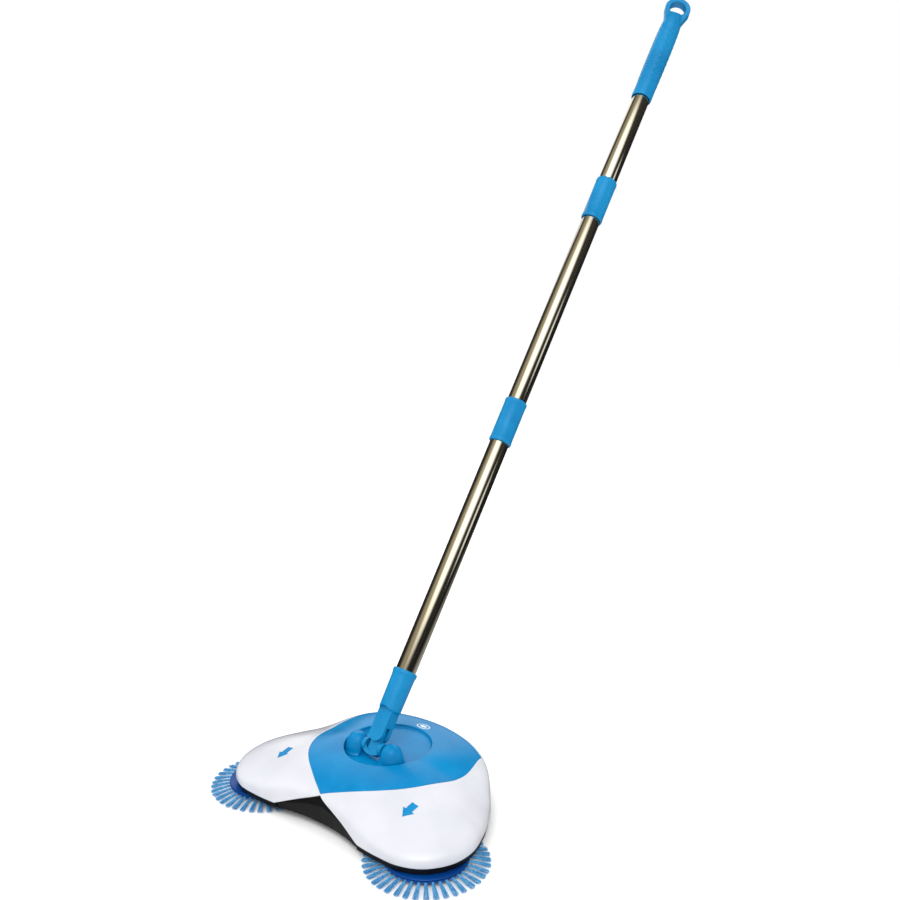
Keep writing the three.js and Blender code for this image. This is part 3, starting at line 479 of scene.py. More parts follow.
def top_height(x, y):
    forward = np.maximum(0, 60 - y) / 100
    rearward = np.maximum(0, y - 60) / 100
    t = np.clip((np.abs(x) - 50) / 40, 0, 1)
    sideways = np.abs(x) / 100
    return CROWN_Z - 19 * forward**2 - 4 * rearward**2 - 6 * sideways**2 - 3 * t * t * (3 - 2 * t)


def head_point(angle, s, fall, distance):
    """Point of the head's skin, set in by a distance, at a share s of the way out to the rim."""
    radius = rim_radius(angle, distance) * s
    x, y = CROWN[0] + radius * np.cos(angle), CROWN[1] + radius * np.sin(angle)
    z = RIM_Z + (top_height(x, y) - distance - RIM_Z) * fall
    return np.stack(np.broadcast_arrays(x, y, z), -1)


def fall_of(s, n):
    return np.maximum(0, 1 - np.clip(s, 0, 1) ** n) ** (1 / n)


def head_height(x, y, distance=0.0):
    angle = np.arctan2(y - CROWN[1], x - CROWN[0])
    s = np.hypot(x - CROWN[0], y - CROWN[1]) / rim_radius(angle, distance)
    return RIM_Z + (top_height(x, y) - distance - RIM_Z) * fall_of(s, shoulder(angle))


def radial_samples(n, count=160):
    """Shares of the way out, and the fall there, dense where the shoulder turns down."""
    turn = 0.5 ** (1 / n)
    flat = np.linspace(0, turn, count // 2, endpoint=False)
    steep = np.linspace(turn, 0, count // 2)
    s = np.concatenate([flat, (1 - steep**n) ** (1 / n)])
    return s, np.concatenate([fall_of(flat, n), steep])


def head_solid(distance, bottom, spokes=180, rings=26):
    """Everything under the head's skin, set in by a distance, down to a flat bottom."""
    angles = np.linspace(-math.pi, math.pi, spokes, endpoint=False)
    rows = []
    for angle in angles:
        s, fall = radial_samples(float(shoulder(angle)), rings)
        ray = head_point(angle, s[1:], fall[1:], distance)
        foot = ray[-1].copy()
        foot[2] = bottom
        rows.append(np.vstack([ray, foot]))
    points = np.array(rows)
    vertices, faces = grid(points, True, False)
    faces = [face[::-1] for face in faces]
    columns = points.shape[1]
    top, under = len(vertices), len(vertices) + 1
    crown = head_point(0.0, 0.0, 1.0, distance)
    vertices = np.vstack([vertices, crown, [CROWN[0], CROWN[1], bottom]])
    for i in range(spokes):
        j = (i + 1) % spokes
        faces.append((top, i * columns, j * columns))
        faces.append((under, j * columns + columns - 1, i * columns + columns - 1))
    return blank("head", vertices, faces)


# ------------------------------------------------------------------ white shell

def mouth_edge(x):
    share = np.clip(np.abs(x) / ARCH_HALF, 0, 1)
    return RIM_Z + (ARCH_Z - RIM_Z) * (1 - share)


def ray_angles(count, corners):
    """Directions from the crown, evenly spaced along the rim, with the given corners among them."""
    offset = RIM_LOOP - CROWN
    length = np.concatenate([[0], np.cumsum(np.linalg.norm(np.diff(RIM_LOOP, axis=0), axis=1))])
    angle = np.unwrap(np.arctan2(offset[:, 1], offset[:, 0]))
    even = np.interp(np.linspace(0, length[-1], count), length, angle)
    for corner in corners:
        target = math.atan2(corner[1] - CROWN[1], corner[0] - CROWN[0])
        options = target + 2 * math.pi * np.arange(-1, 3)
        gap = np.abs(even[:, None] - options)
        i, k = np.unravel_index(gap.argmin(), gap.shape)
        even[i] = options[k]
    return np.sort(even)


EDGE_R = 0.75
SEAT_DEPTH = 1.35
SEAT_REACH = 3.2


def white_shell():
    opening = Polar(inset(COVER_LOOP, -GAP), CROWN)
    corner = COVER_LOOP[np.argmax(COVER_LOOP[:, 0] + 2 * COVER_LOOP[:, 1])]
    angles = ray_angles(400, [(0, -29), corner, (-corner[0], corner[1]), (0, 142)])
    rows = []
    for angle in angles:
        s, fall = radial_samples(float(shoulder(angle)), 400)
        inner = opening(angle) / rim_radius(angle, 0)
        skin = head_point(angle, s, fall, 0)
        end = 1.0
        mouth = (s > inner) & (np.abs(skin[:, 0]) < ARCH_HALF) & (skin[:, 1] < MOUTH_DEPTH_Y)
        mouth &= skin[:, 2] < mouth_edge(skin[:, 0])
        if mouth.any():
            end = s[np.argmax(mouth)]
        run = np.concatenate([[0], np.cumsum(np.linalg.norm(np.diff(skin, axis=0), axis=1))])
        first, last = np.interp([inner, end], s, run)
        radius = min(EDGE_R, (last - first) / 3)

        def at(along, distance):
            return head_point(angle, np.interp(along, run, s), np.interp(along, run, fall), distance)

        quarter = np.radians(np.linspace(0, 90, 5))
        profile = []
        for a in quarter[::-1]:
            profile.append(at(first + radius * (1 - math.sin(a)), radius * (1 - math.cos(a))))
        middle = np.linspace(first + radius, last - radius, 62)[1:-1]
        profile += [at(k, 0.0) for k in middle]
        profile += [at(last - radius * (1 - math.sin(a)), radius * (1 - math.cos(a))) for a in quarter]
        back = np.linspace(last, first, 40)
        profile += [at(k, WALL) for k in back[:-1]]
        reach = min(SEAT_REACH, first * 0.5)
        profile += [at(first - reach, SEAT_DEPTH + WALL * 0.7), at(first - reach, SEAT_DEPTH)]
        profile.append(at(first, SEAT_DEPTH))
        rows.append(profile)
    points = np.array(rows)
    shell = blank("shell", *grid(points))
    flip_outwards(shell)
    slot = BIN_HALF + 0.6
    return cut(shell, block((-slot, slot), (100, 160), (0, BIN_TOP + 0.6)))


def flip_outwards(obj):
    work = bmesh.new()
    work.from_mesh(obj.data)
    bmesh.ops.recalc_face_normals(work, faces=work.faces)
    work.to_mesh(obj.data)
    work.free()
    return obj


place(white_shell(), "shell_white", WHITE, "head", ["top_shell"])


# ------------------------------------------------------------------ blue cover with its dish and posts

def dish_floor(y):
    return DISH_FLOOR + math.tan(DISH_TILT) * (y - DISH_Y)


def centre_cover():
    centre = np.array([0.0, DISH_Y])
    outline = Polar(inset(COVER_LOOP, 0.0), centre)
    corner = COVER_LOOP[np.argmax(COVER_LOOP[:, 0] + 2 * COVER_LOOP[:, 1])]
    angles = np.linspace(-math.pi / 2, 1.5 * math.pi, 360, endpoint=False)
    for tip in ((corner[0], corner[1]), (-corner[0], corner[1])):
        target = math.atan2(tip[1] - DISH_Y, tip[0]) % (2 * math.pi)
        target -= 2 * math.pi if target > 1.5 * math.pi else 0
        angles[np.abs(angles - target).argmin()] = target
    lip, fillet = 1.1, 2.2
    quarter = np.radians(np.linspace(0, 90, 6))
    rows = []
    for angle in angles:
        c, s = math.cos(angle), math.sin(angle)
        reach = float(outline(angle))

        def surface(r, distance):
            x, y = r * c, DISH_Y + r * s
            return (x, y, float(head_height(x, y, distance)))

        def bottom(r, rise):
            y = DISH_Y + r * s
            return (r * c, y, dish_floor(y) + rise)

        profile = [bottom(r, 0) for r in np.linspace(4, DISH_R - fillet, 12)]
        for a in quarter[1:]:
            profile.append(bottom(DISH_R - fillet * (1 - math.sin(a)), fillet * (1 - math.cos(a))))
        wall_top = surface(DISH_R + lip, 0)[2] - lip
        profile += [(DISH_R * c, DISH_Y + DISH_R * s, wall_top)]
        for a in quarter[1:]:
            profile.append(surface(DISH_R + lip * (1 - math.cos(a)), lip * (1 - math.sin(a))))
        edge = 0.6
        t = np.linspace(0, 1, 60)[1:-1]
        flow = 1 - (1 - t) ** 1.6
        profile += [surface(k, 0.0) for k in DISH_R + lip + (reach - edge - DISH_R - lip) * flow]
        profile += [surface(reach - edge * (1 - math.sin(a)), edge * (1 - math.cos(a))) for a in quarter]
        ledge = reach - SEAT_REACH - 0.6
        profile += [surface(reach, SEAT_DEPTH - 0.15), surface(ledge, SEAT_DEPTH - 0.15), surface(ledge, WALL)]
        inner = np.linspace(reach - SEAT_REACH - 1, DISH_R + WALL, 20)
        profile += [surface(k, WALL) for k in inner]
        profile += [bottom(DISH_R + WALL, -WALL)]
        profile += [bottom(r, -WALL) for r in np.linspace(DISH_R, 4, 5)]
        rows.append(profile)
    points = np.array(rows)
    vertices, faces = grid(points, True, False)
    columns, count = points.shape[1], len(angles)
    top, under = len(vertices), len(vertices) + 1
    vertices = np.vstack([vertices, [0, DISH_Y, DISH_FLOOR], [0, DISH_Y, DISH_FLOOR - WALL]])
    for i in range(count):
        j = (i + 1) % count
        faces.append((top, j * columns, i * columns))
        faces.append((under, i * columns + columns - 1, j * columns + columns - 1))
    return flip_outwards(blank("cover", vertices, faces))


POST_PROFILE = [(0, 48.2), (14.6, 48.2), (14.4, 50.6), (13.5, 51.5), (12.9, 52.6), (12.55, 54.5),
                (12.2, 56.5), (11.8, 58.5), (11.3, 60.5), (10.75, 62.5), (10.0, 64.4), (9.1, 66.0),
                (7.9, 67.4), (6.4, 68.6), (4.6, 69.5), (2.4, 70.05), (0, 70.2)]


def post():
    """A domed post whose inner side is cut flat, with a soft corner, where the yoke's ear runs."""
    column = turned(POST_PROFILE, 96)
    flat, soft = POST_X - POST_INNER, 1.2
    for vertex in column.data.vertices:
        over = (-flat - vertex.co.x) / soft
        if over > -3:
            round_off = math.log1p(math.exp(-over)) - math.log(2) * math.exp(-abs(over))
            vertex.co.x = -flat + soft * round_off
    for vertex in column.data.vertices:
        vertex.co.x = max(vertex.co.x, -flat) + POST_X
        vertex.co.y += PIVOT_Y
    return cut(column, rod(2.6, POST_INNER - 1, POST_X + 1, 32, "x", (0, PIVOT_Y, PIVOT_Z)))


right_post = post()
cover = union(centre_cover(), right_post, mirrored(right_post))
place(cover, "cover_blue", BLUE, "head", ["centre_cover"], sharp=38)


# ------------------------------------------------------------------ printed marks

def printed(outline_at, steps, across, name, finish):
    """A thin printed shape on the head: outline_at(t) gives the two ends of each strip across it."""
    rows = []
    for t in np.linspace(0, 1, steps):
        (xa, ya), (xb, yb) = outline_at(t)
        k = np.linspace(0, 1, across)
        x, y = xa + (xb - xa) * k, ya + (yb - ya) * k
        top = np.stack([x, y, head_height(x, y, -0.08)], 1)
        low = np.stack([x, y, head_height(x, y, 0.25)], 1)[::-1]
        rows.append(np.vstack([top, low]))
    points = np.array(rows)
    vertices, faces = grid(points, False, True)
    columns = points.shape[1]
    last = (len(rows) - 1) * columns
    for k in range(across - 1):
        faces.append((k, k + 1, columns - 2 - k, columns - 1 - k))
        faces.append((last + k, last + columns - 1 - k, last + columns - 2 - k, last + k + 1))
    mark = flip_outwards(blank(name, vertices, faces))
    return place(mark, name, finish, "head")


ARROW_LENGTH, ARROW_NECK, ARROW_SHAFT, ARROW_HEAD = 19.0, 0.5, 4.0, 7.2


def arrow(x0, y0):
    def ends(t):
        y = y0 + ARROW_LENGTH * (0.5 - t)
        if t <= ARROW_NECK:
            half = ARROW_SHAFT
        else:
            half = max(0.15, ARROW_HEAD * (1 - t) / (1 - ARROW_NECK))
        return (x0 - half, y), (x0 + half, y)
    return ends


for side, sign in (("right", 1), ("left", -1)):
    printed(arrow(89 * sign, 2.3), 61, 9, f"direction_arrow_{side}", PRINT)


def oval_ring(x0, y0, outer, inner, turn, name):
    """A plain oval line printed on the cover."""
    count = 72
    rows = []
    for k in range(count):
        angle = 2 * math.pi * k / count
        profile = []
        for size, distance in ((outer, -0.08), (inner, -0.08), (inner, 0.25), (outer, 0.25)):
            a, b = size[0] * math.cos(angle), size[1] * math.sin(angle)
            x = x0 + a * math.cos(turn) - b * math.sin(turn)
            y = y0 + a * math.sin(turn) + b * math.cos(turn)
            profile.append((x, y, float(head_height(x, y, distance))))
        rows.append(profile)
    mark = flip_outwards(blank(name, *grid(np.array(rows))))
    place(mark, name, PRINT_WHITE, "head")


oval_ring(2, 122, (8.6, 5.0), (7.4, 3.9), 0.0, "cover_oval_line")
oval_ring(2, 122, (4.6, 1.9), (0.4, 0.2), 0.0, "cover_oval_mark")


# ------------------------------------------------------------------ side brushes

def tube_path(path, radii, sides):
    """Vertices and faces of a thin capped tube along a path."""
    path = np.asarray(path, float)
    step = np.gradient(path, axis=0)
    step /= np.linalg.norm(step, axis=1)[:, None]
    up = np.array([0.0, 0.0, 1.0]) if abs(step[0][2]) < 0.9 else np.array([1.0, 0.0, 0.0])
    side = np.cross(step, up)
    side /= np.linalg.norm(side, axis=1)[:, None]
    over = np.cross(side, step)
    angle = 2 * math.pi * np.arange(sides) / sides
    ring = np.cos(angle)[:, None, None] * side + np.sin(angle)[:, None, None] * over
    points = (path + ring * np.asarray(radii)[:, None]).transpose(1, 0, 2)
    vertices, faces = grid(points, False, True)
    last = len(vertices) - sides
    faces += [tuple(range(sides))[::-1], tuple(range(last, last + sides))]
    return vertices, faces


def bundle(tubes):
    vertices, faces, start = [], [], 0
    for v, f in tubes:
        vertices.append(v)
        faces += [tuple(i + start for i in face) for face in f]
        start += len(v)
    return np.vstack(vertices), faces


def side_brush(x0, seed):
    """Tufts of nylon filaments that fan out and down from under the disc's edge."""
    draw = random.Random(seed)
    root = DISC_R - 2.4
    tubes = []
    for tuft in range(TUFTS):
        middle = 2 * math.pi * (tuft + 0.5) / TUFTS
        lean = draw.uniform(-0.012, 0.012)
        for k in range(17):
            spread = (k % 6 - 2.5) / 2.5 if k < 12 else draw.uniform(-0.9, 0.9)
            layer = (k // 6 - 1) * 0.55 + draw.uniform(-0.15, 0.15)
            reach = TIP_R - draw.uniform(0, 1.5) - 0.8 * abs(spread)
            path = []
            for t in (0.0, 0.25, 0.5, 0.75, 1.0):
                r = root + (reach - root) * t
                side_way = spread * (0.75 + 1.75 * t) + draw.uniform(-0.06, 0.06)
                angle = middle + lean * t + side_way / r
                z = 4.75 + layer * (0.9 + 0.3 * t) - 3.1 * t**1.35
                path.append((x0 + r * math.cos(angle), r * math.sin(angle), max(z, 0.45)))
            tubes.append(tube_path(path, [0.3, 0.3, 0.29, 0.27, 0.2], 5))
    return bundle(tubes)


def turned_seat(x0):
    """The ring under the disc's edge that the tufts are set in."""
    inner, outer = DISC_R - 2, DISC_R - 0.1
    profile = [(inner, 3.7), (outer - 0.3, 3.7), (outer, 4.0), (outer, 5.9), (inner, 5.9), (inner, 3.7)]
    return turned(profile, 144, "z", (x0, 0, 0))


def brush_disc(x0):
    """The disc that carries the tufts, and the spindle that stands on it."""
    under = [(0, 3.4), (12.4, 3.4), (13.2, 3.6), (16, 5), (DISC_R - 2.8, 4.5), (DISC_R - 2.4, 4.7)]
    rim = [(DISC_R - 2.4, 6.0), (DISC_R - 1.8, 6.2), (DISC_R - 0.4, 6.4), (DISC_R, 6.8), (DISC_R, 7.3),
           (DISC_R - 0.3, 7.6), (DISC_R - 1.4, 7.6), (DISC_R - 2.1, 7.3), (DISC_R - 4, 6.8)]
    spindle = [(9.4, 6.8), (9.0, 7.1), (9, 7.7), (3.9, 7.7), (3.9, 21.4), (1.4, 21.4), (1.4, 12), (0, 12)]
    return turned([*under, *rim, *spindle], 144, "z", (x0, 0, 0))


for side, x0, seed in (("right", SPINDLE_X, 11), ("left", -SPINDLE_X, 12)):
    body = f"side_brush_{side}"
    tufts = blank("tufts", *side_brush(x0, seed))
    bristles = [f"side_brush_bristles_{side}"]
    place(tufts, f"brush_tufts_{side}", BRISTLE, body, bristles, sharp=80)
    place(turned_seat(x0), f"brush_ring_{side}", DEEP_BLUE, body)
    hub = [f"side_brush_hub_{side}"]
    place(brush_disc(x0), f"brush_disc_{side}", DEEP_BLUE, body, hub)


# ------------------------------------------------------------------ roller brush tufts

def roller_tufts():
    draw = random.Random(21)
    tubes = []
    rows, per_row = 4, 22
    for row in range(rows):
        for k in range(per_row):
            share = (k + 0.5) / per_row
            x = -ROLLER_HALF + 2 * ROLLER_HALF * share
            base = math.pi / 2 * row + 1.3 * share
            for _ in range(9):
                root = (draw.uniform(-0.9, 0.9), draw.uniform(-0.07, 0.07))
                tip = (root[0] * 2.2 + draw.uniform(-0.4, 0.4), root[1] * 1.5 + draw.uniform(-0.03, 0.03))
                path = []
                for t in (0.0, 0.5, 1.0):
                    r = ROLLER_CORE - 0.5 + (ROLLER_R - draw.uniform(0, 0.5) - ROLLER_CORE + 0.5) * t
                    angle = base + root[1] + (tip[1] - root[1]) * t
                    px = x + root[0] + (tip[0] - root[0]) * t
                    px = max(-ROLLER_HALF + 0.3, min(ROLLER_HALF - 0.3, px))
                    path.append((px, ROLLER_Y + r * math.sin(angle), ROLLER_Z + r * math.cos(angle)))
                tubes.append(tube_path(path, [0.28, 0.27, 0.2], 4))
    return bundle(tubes)


rows = blank("rows", *roller_tufts())
place(rows, "roller_tufts", BRISTLE, "roller_brush", ["roller_bristles"], sharp=80)


# ------------------------------------------------------------------ handle joint

def yoke():
    """Two ears on a curved bar between the posts, and the flat tab that the handle swings on."""
    outer_half, inner_half = POST_INNER - 0.5, 8.8
    outer = [(x * outer_half, z * 9.6) for x, z in arc((0, 0), 1, 180, 360, 48)]
    inner = [(x * inner_half, z * 5.2) for x, z in arc((0, 0), 1, 360, 180, 48)]
    ends = [(outer_half, 4), (inner_half, 4)]
    bow_outline = [(-outer_half, 4), *outer, *ends, *inner, (-inner_half, 4)]
    bow = prism(bow_outline, -3.9, 3.9, "y")
    ears = [rod(6.6, inner_half, outer_half, 64, "x"), rod(6.6, -outer_half, -inner_half, 64, "x")]
    tab = prism([(-6.4, -7.5), (6.4, -7.5), *arc((0, SWING_AT), 6.4, 0, 180, 32)], -2.4, 2.4, "y")
    swing_bore = rod(2.1, -20, 20, 32, "y", (0, 0, SWING_AT))
    tilt_bores = [rod(2.6, 7, 15, 32, "x"), rod(2.6, -15, -7, 32, "x")]
    return remoulded(cut(union(bow, *ears, tab), swing_bore, *tilt_bores), 0.3, 3)


def socket():
    """The handle's lower end: a sleeve for the tube, and a flat slotted tongue."""
    profile = [(0, 37), (9, 37), (12, 40), (12.3, 56), (12.6, 75), (12.9, 78), (13.4, 79), (13.4, 82.2),
               (12.6, 83), (0, 83)]
    sleeve = turned(profile, 128)
    half = 9.0
    tongue = prism([*arc((0, SWING_AT), half, 180, 360, 40), (half, 42), (-half, 42)], -6.8, 6.8, "y")
    whole = union(sleeve, tongue)
    slot = block((-20, 20), (-2.8, 2.8), (0, SWING_AT + 7.4))
    scoop = arc((0, SOCKET_BOTTOM - 7), half, 0, 180, 40)
    scallop = prism([(-half, 0), (half, 0), *scoop], -30, -6.8, "y")
    bore = rod(TUBE_R + GAP, SOCKET_SEAT, 90, 128)
    pin = rod(2.1, -5.4, 20, 32, "y", (0, 0, SWING_AT))
    whole = remoulded(cut(whole, slot, scallop, bore, pin), 0.32, 3)
    radius_at, height_at = [r for r, _ in profile[1:-1]], [h for _, h in profile[1:-1]]
    for vertex in whole.data.vertices:
        r = math.hypot(vertex.co.x, vertex.co.y)
        target = float(np.interp(vertex.co.z, height_at, radius_at))
        if 41 < vertex.co.z < 76 and abs(r - target) < 0.22:
            vertex.co.x *= target / r
            vertex.co.y *= target / r
    return whole


place(yoke(), "yoke_blue", HANDLE_BLUE, "yoke", ["joint_yoke"], handle=True, sharp=60)
place(socket(), "socket_blue", HANDLE_BLUE, "handle", ["handle_socket"], handle=True, sharp=60)


# ------------------------------------------------------------------ tubes, connectors and grip

def tube(start, end):
    r = 0.25
    inside, outside = TUBE_BORE + 0.1, TUBE_R - 0.1
    profile = [(TUBE_BORE, start + r), (inside, start), (outside, start), (TUBE_R, start + r),
               (TUBE_R, end - r), (outside, end), (inside, end), (TUBE_BORE, end - r),
               (TUBE_BORE, start + r)]
    return turned(profile, 144)


def connector(start, end):
    middle = (start + end) / 2
    bore, stub = TUBE_R + GAP, TUBE_BORE - GAP
    outside = [(SLEEVE_R - 0.9, start), (SLEEVE_R - 0.25, start + 0.5), (SLEEVE_R, start + 1.4),
               (SLEEVE_R, start + 4), (SLEEVE_R - 0.3, start + 4.5), (SLEEVE_R - 0.3, middle),
               (SLEEVE_R - 0.3, end - 4.5), (SLEEVE_R, end - 4), (SLEEVE_R, end - 1.4),
               (SLEEVE_R - 0.25, end - 0.5), (SLEEVE_R - 0.9, end)]
    low = [(stub - 2, middle - 14), (stub, middle - 14), (stub, middle - 1), (bore, middle - 1)]
    high = [(bore, middle + 1), (stub, middle + 1), (stub, middle + 14), (stub - 2, middle + 14)]
    profile = [*low, (bore, start), *outside, (bore, end), *high, low[0]]
    return turned(profile, 128)


joins = {name: sum(ends) / 2 for name, ends in CONNECTORS.items()}
STOP = 1.6  # from the middle of a connector to the end of a tube
spans = {
    "lower": (SOCKET_SEAT + 1, joins["lower"] - STOP),
    "middle": (joins["lower"] + STOP, joins["upper"] - STOP),
    "upper": (joins["upper"] + STOP, GRIP_BOTTOM + 15),
}
for name, (start, end) in spans.items():
    place(tube(start, end), f"steel_tube_{name}", STEEL, "handle", [f"{name}_tube"], handle=True)
for name, (start, end) in CONNECTORS.items():
    place(connector(start, end), f"connector_{name}", HANDLE_BLUE, "handle", [f"{name}_connector"],
          handle=True)

GRIP_PROFILE = [(12.7, 0), (12.9, 3), (12.75, 15), (13.0, 30), (13.2, 46), (13.3, 70), (13.3, 83),
                (13.1, 100), (12.6, 117), (12.0, 124), (11.2, 128.5), (10.4, 133), (9.6, 137)]
SCALES = (22.0, 112.0)  # where the scale pattern starts and ends above the grip's bottom
SCALE_ROW, SCALES_ROUND, SCALE_HEIGHT = 4.6, 9, 0.75


def scale_height(turn, along):
    """Height of overlapping moulded scales, 0 to 1. Upper scales lie over the roots of lower ones."""
    v = along / SCALE_ROW
    base = math.floor(v)
    for row in (base + 1, base):
        u = turn * SCALES_ROUND + 0.5 * (row % 2)
        off = 2 * abs(u - math.floor(u) - 0.5)
        tip = row - 0.38 + 0.6 * off * off
        if v >= tip or row == base:
            return max(0.0, min(1.0, (row + 1 - v) / 1.38))
    return 0.0


def grip():
    low = GRIP_BOTTOM
    body = turned([(0, low), *[(r, low + h) for r, h in GRIP_PROFILE], (0, low + 139)], 128)
    crown = [(x * 16.4, LOOP_AT + z * (GRIP_TOP - LOOP_AT)) for x, z in arc((0, 0), 1, -25, 205, 60)]
    eye = prism([(9.5, LOOP_AT - 26), *crown, (-9.5, LOOP_AT - 26)], -6, 6, "y")
    turn_z(eye, LOOP_TURN)
    hole = rod(LOOP_HOLE, -30, 30, 96, "y", (0, 0, LOOP_AT))
    turn_z(hole, LOOP_TURN)
    bore = rod(TUBE_R + GAP, low - 1, low + 16, 96)
    core = rod(9.2, low, low + 114, 64)
    whole = remoulded(cut(union(body, eye), bore, core, hole), 0.5, 5)
    heights = [low + h for _, h in GRIP_PROFILE]
    radii = [r for r, _ in GRIP_PROFILE]
    start, end = low + SCALES[0], low + SCALES[1]
    for vertex in whole.data.vertices:
        x, y, z = vertex.co
        r = math.hypot(x, y)
        target = float(np.interp(z, heights, radii))
        if low + 1.5 < z < low + 118 and abs(r - target) < 0.5:
            fade = min(1.0, max(0.0, (z - start) / 2.5)) * min(1.0, max(0.0, (end - z) / 2.5))
            pattern = scale_height(math.atan2(y, x) / (2 * math.pi), z - start)
            target += fade * SCALE_HEIGHT * (pattern - 0.7)
            vertex.co.x *= target / r
            vertex.co.y *= target / r
    return whole


def turn_z(obj, angle):
    c, s = math.cos(angle), math.sin(angle)
    for vertex in obj.data.vertices:
        x, y, z = vertex.co
        vertex.co = (x * c - y * s, x * s + y * c, z)
    return obj


place(grip(), "grip_blue", HANDLE_BLUE, "handle", ["grip"], handle=True, sharp=70)


# ------------------------------------------------------------------ finishes of the CAD nodes that stay

KEPT = {
    "base_plate": BLACK, "roller_hood": SMOKE, "dust_drawer": SMOKE, "drawer_latch": BLUE, "roller_core": BLUE,
    "case_screw": ZINC, "wheel_hub": NATURAL, "wheel_tyre": RUBBER, "wheel_axle": ZINC, "axle_clip": ZINC,
    "drive_pinion": NATURAL, "inner_idler": NATURAL, "outer_idler": NATURAL, "spindle_gear": NATURAL,
    "spindle_bush": NATURAL, "spindle_screw": ZINC, "roller_gear": NATURAL, "roller_idler": NATURAL,
    "roller_bush": NATURAL, "rear_roller_pin": ZINC, "rear_roller": BLACK, "tilt_pin": ZINC, "swing_pin": ZINC,
}
for node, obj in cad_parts.items():
    if obj.hide_render:
        continue
    key = max((k for k in KEPT if node.startswith(k)), key=len)
    obj.data.materials.clear()
    obj.data.materials.append(KEPT[key].material)


# ------------------------------------------------------------------ floor, light and camera

def floor():
    size = 40.0
    corners = [(-size, -size, 0), (size, -size, 0), (size, size, 0), (-size, size, 0)]
    obj = blank("floor", corners, [(0, 1, 2, 3)])
    finish = Finish("floor_paint")
    finish.colour(finish.noise(3, 2), (0.945, 0.945, 0.945, 1), (0.955, 0.955, 0.955, 1))
    finish.roughness(finish.noise(8, 2), 0.7, 0.8)
    finish.set(Specular_IOR_Level=0.0)
    obj.data.materials.append(finish.material)
    obj.visible_glossy = False


def softbox(name, location, target, size, power, colour=(1, 1, 1)):
    light = bpy.data.lights.new(name, "AREA")
    light.shape = "RECTANGLE"
    light.size, light.size_y = size
    light.energy = power
    light.color = colour
    obj = bpy.data.objects.new(name, light)
    obj.location = location
    obj.rotation_mode = "QUATERNION"
    obj.rotation_quaternion = (Vector(location) - Vector(target)).to_track_quat("Z", "Y")
    bpy.context.scene.collection.objects.link(obj)
    obj.visible_glossy = False
    return obj


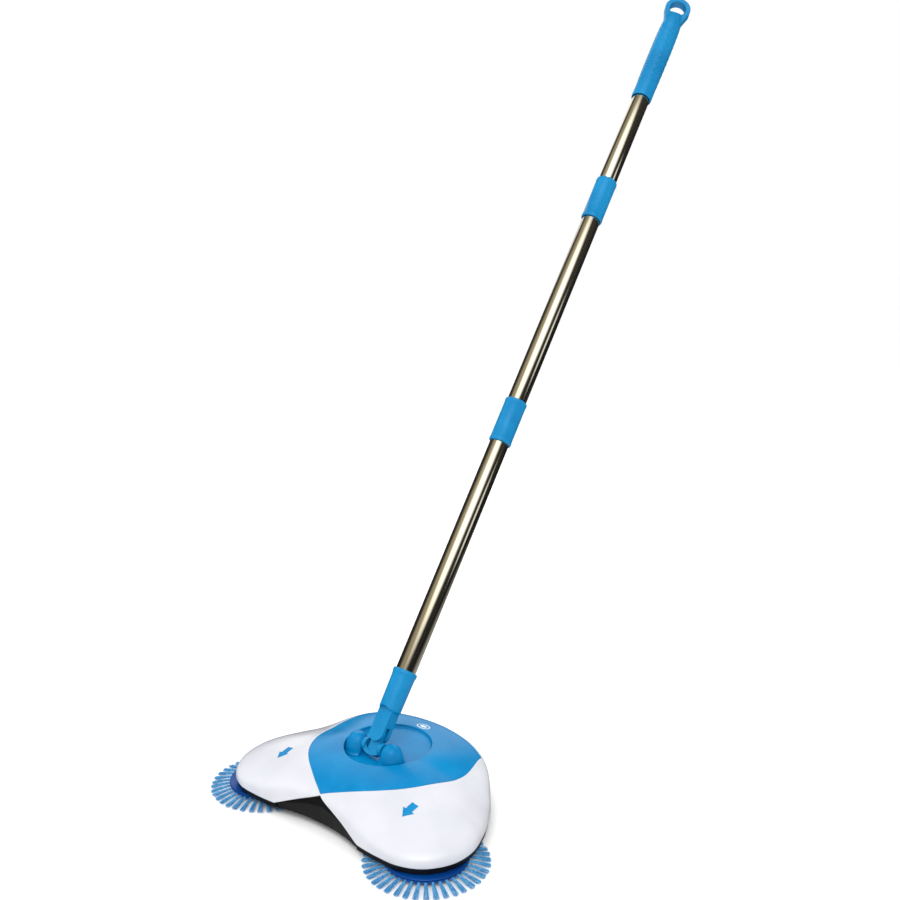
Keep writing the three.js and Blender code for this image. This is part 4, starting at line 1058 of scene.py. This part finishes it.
def studio_world():
    """White to the camera, even white for soft light, and a dark studio with lights in reflections."""
    world = bpy.data.worlds.new("studio")
    world.use_nodes = True
    bpy.context.scene.world = world
    nodes, links = world.node_tree.nodes, world.node_tree.links
    nodes.clear()
    direction = nodes.new("ShaderNodeTexCoord").outputs["Generated"]
    total = None

    def lobe(towards, inner, outer, colour, power=1.0):
        """Light that comes from round a direction, fading between two angles in degrees."""
        nonlocal total
        dot = nodes.new("ShaderNodeVectorMath")
        dot.operation = "DOT_PRODUCT"
        dot.inputs[1].default_value = Vector(towards).normalized()
        links.new(direction, dot.inputs[0])
        fade = nodes.new("ShaderNodeMapRange")
        fade.interpolation_type = "SMOOTHSTEP"
        fade.inputs["From Min"].default_value = math.cos(math.radians(outer))
        fade.inputs["From Max"].default_value = math.cos(math.radians(inner))
        links.new(dot.outputs["Value"], fade.inputs["Value"])
        scaled = nodes.new("ShaderNodeVectorMath")
        scaled.operation = "SCALE"
        scaled.inputs[0].default_value = [c * power for c in colour]
        links.new(fade.outputs["Result"], scaled.inputs["Scale"])
        if total is None:
            total = scaled.outputs["Vector"]
            return
        add = nodes.new("ShaderNodeVectorMath")
        add.operation = "ADD"
        links.new(total, add.inputs[0])
        links.new(scaled.outputs["Vector"], add.inputs[1])
        total = add.outputs["Vector"]

    lobe((0, 0, 1), 0, 180, (1, 0.95, 0.88), 0.04)
    lobe((0.40, -0.47, 0.79), 10, 40, (1, 1, 1), 1.5)
    lobe((0.40, -0.47, 0.79), 2, 9, (1, 1, 1), 4.0)
    lobe((-0.05, -0.6, 0.8), 5, 62, (1, 0.88, 0.62), 0.42)
    lobe((0.92, 0.34, 0.13), 3, 13, (0.95, 0.98, 1), 1.0)
    lobe((-0.6, 0.7, 0.5), 8, 30, (1, 0.98, 0.94), 1.2)
    lobe((0, 0, -1), 20, 75, (1, 1, 1), 0.75)

    seen = nodes.new("ShaderNodeBackground")
    seen.inputs["Strength"].default_value = 1.0
    seen.inputs["Color"].default_value = (1, 1, 1, 1)
    soft = nodes.new("ShaderNodeBackground")
    soft.inputs["Strength"].default_value = 1.06
    soft.inputs["Color"].default_value = (1, 1, 1, 1)
    mirror = nodes.new("ShaderNodeBackground")
    links.new(total, mirror.inputs["Color"])
    path = nodes.new("ShaderNodeLightPath")
    first = nodes.new("ShaderNodeMixShader")
    links.new(path.outputs["Is Glossy Ray"], first.inputs["Fac"])
    links.new(soft.outputs["Background"], first.inputs[1])
    links.new(mirror.outputs["Background"], first.inputs[2])
    second = nodes.new("ShaderNodeMixShader")
    links.new(path.outputs["Is Camera Ray"], second.inputs["Fac"])
    links.new(first.outputs["Shader"], second.inputs[1])
    links.new(seen.outputs["Background"], second.inputs[2])
    out = nodes.new("ShaderNodeOutputWorld")
    links.new(second.outputs["Shader"], out.inputs["Surface"])


floor()
studio_world()
softbox("key_light", (0.9, -1.6, 2.2), (0, 0, 0.1), (1.4, 1.4), 26)
softbox("left_fill", (-1.8, -0.8, 1.6), (0, 0, 0.1), (1.2, 1.6), 15)
softbox("rear_fill", (0.6, 1.9, 1.8), (0, 0, 0.1), (1.6, 1.2), 8)

AZIMUTH, ELEVATION = math.radians(39.99), math.radians(11.12)
CAMERA_AT = (0.7041, -0.6701 + ROW_Y, 0.5742)
camera_data = bpy.data.cameras.new("camera")
camera_data.sensor_width = 36.0
camera_data.lens = 41.87
camera_data.shift_y = -0.0036
camera_data.clip_start, camera_data.clip_end = 0.02, 100
camera = bpy.data.objects.new("camera", camera_data)
bpy.context.scene.collection.objects.link(camera)
back = Vector((math.sin(AZIMUTH) * math.cos(ELEVATION), -math.cos(AZIMUTH) * math.cos(ELEVATION),
               math.sin(ELEVATION)))
camera.rotation_mode = "QUATERNION"
camera.rotation_quaternion = (-back).to_track_quat("-Z", "Y")
camera.location = CAMERA_AT
bpy.context.scene.camera = camera
bpy.context.scene.view_settings.view_transform = "Standard"
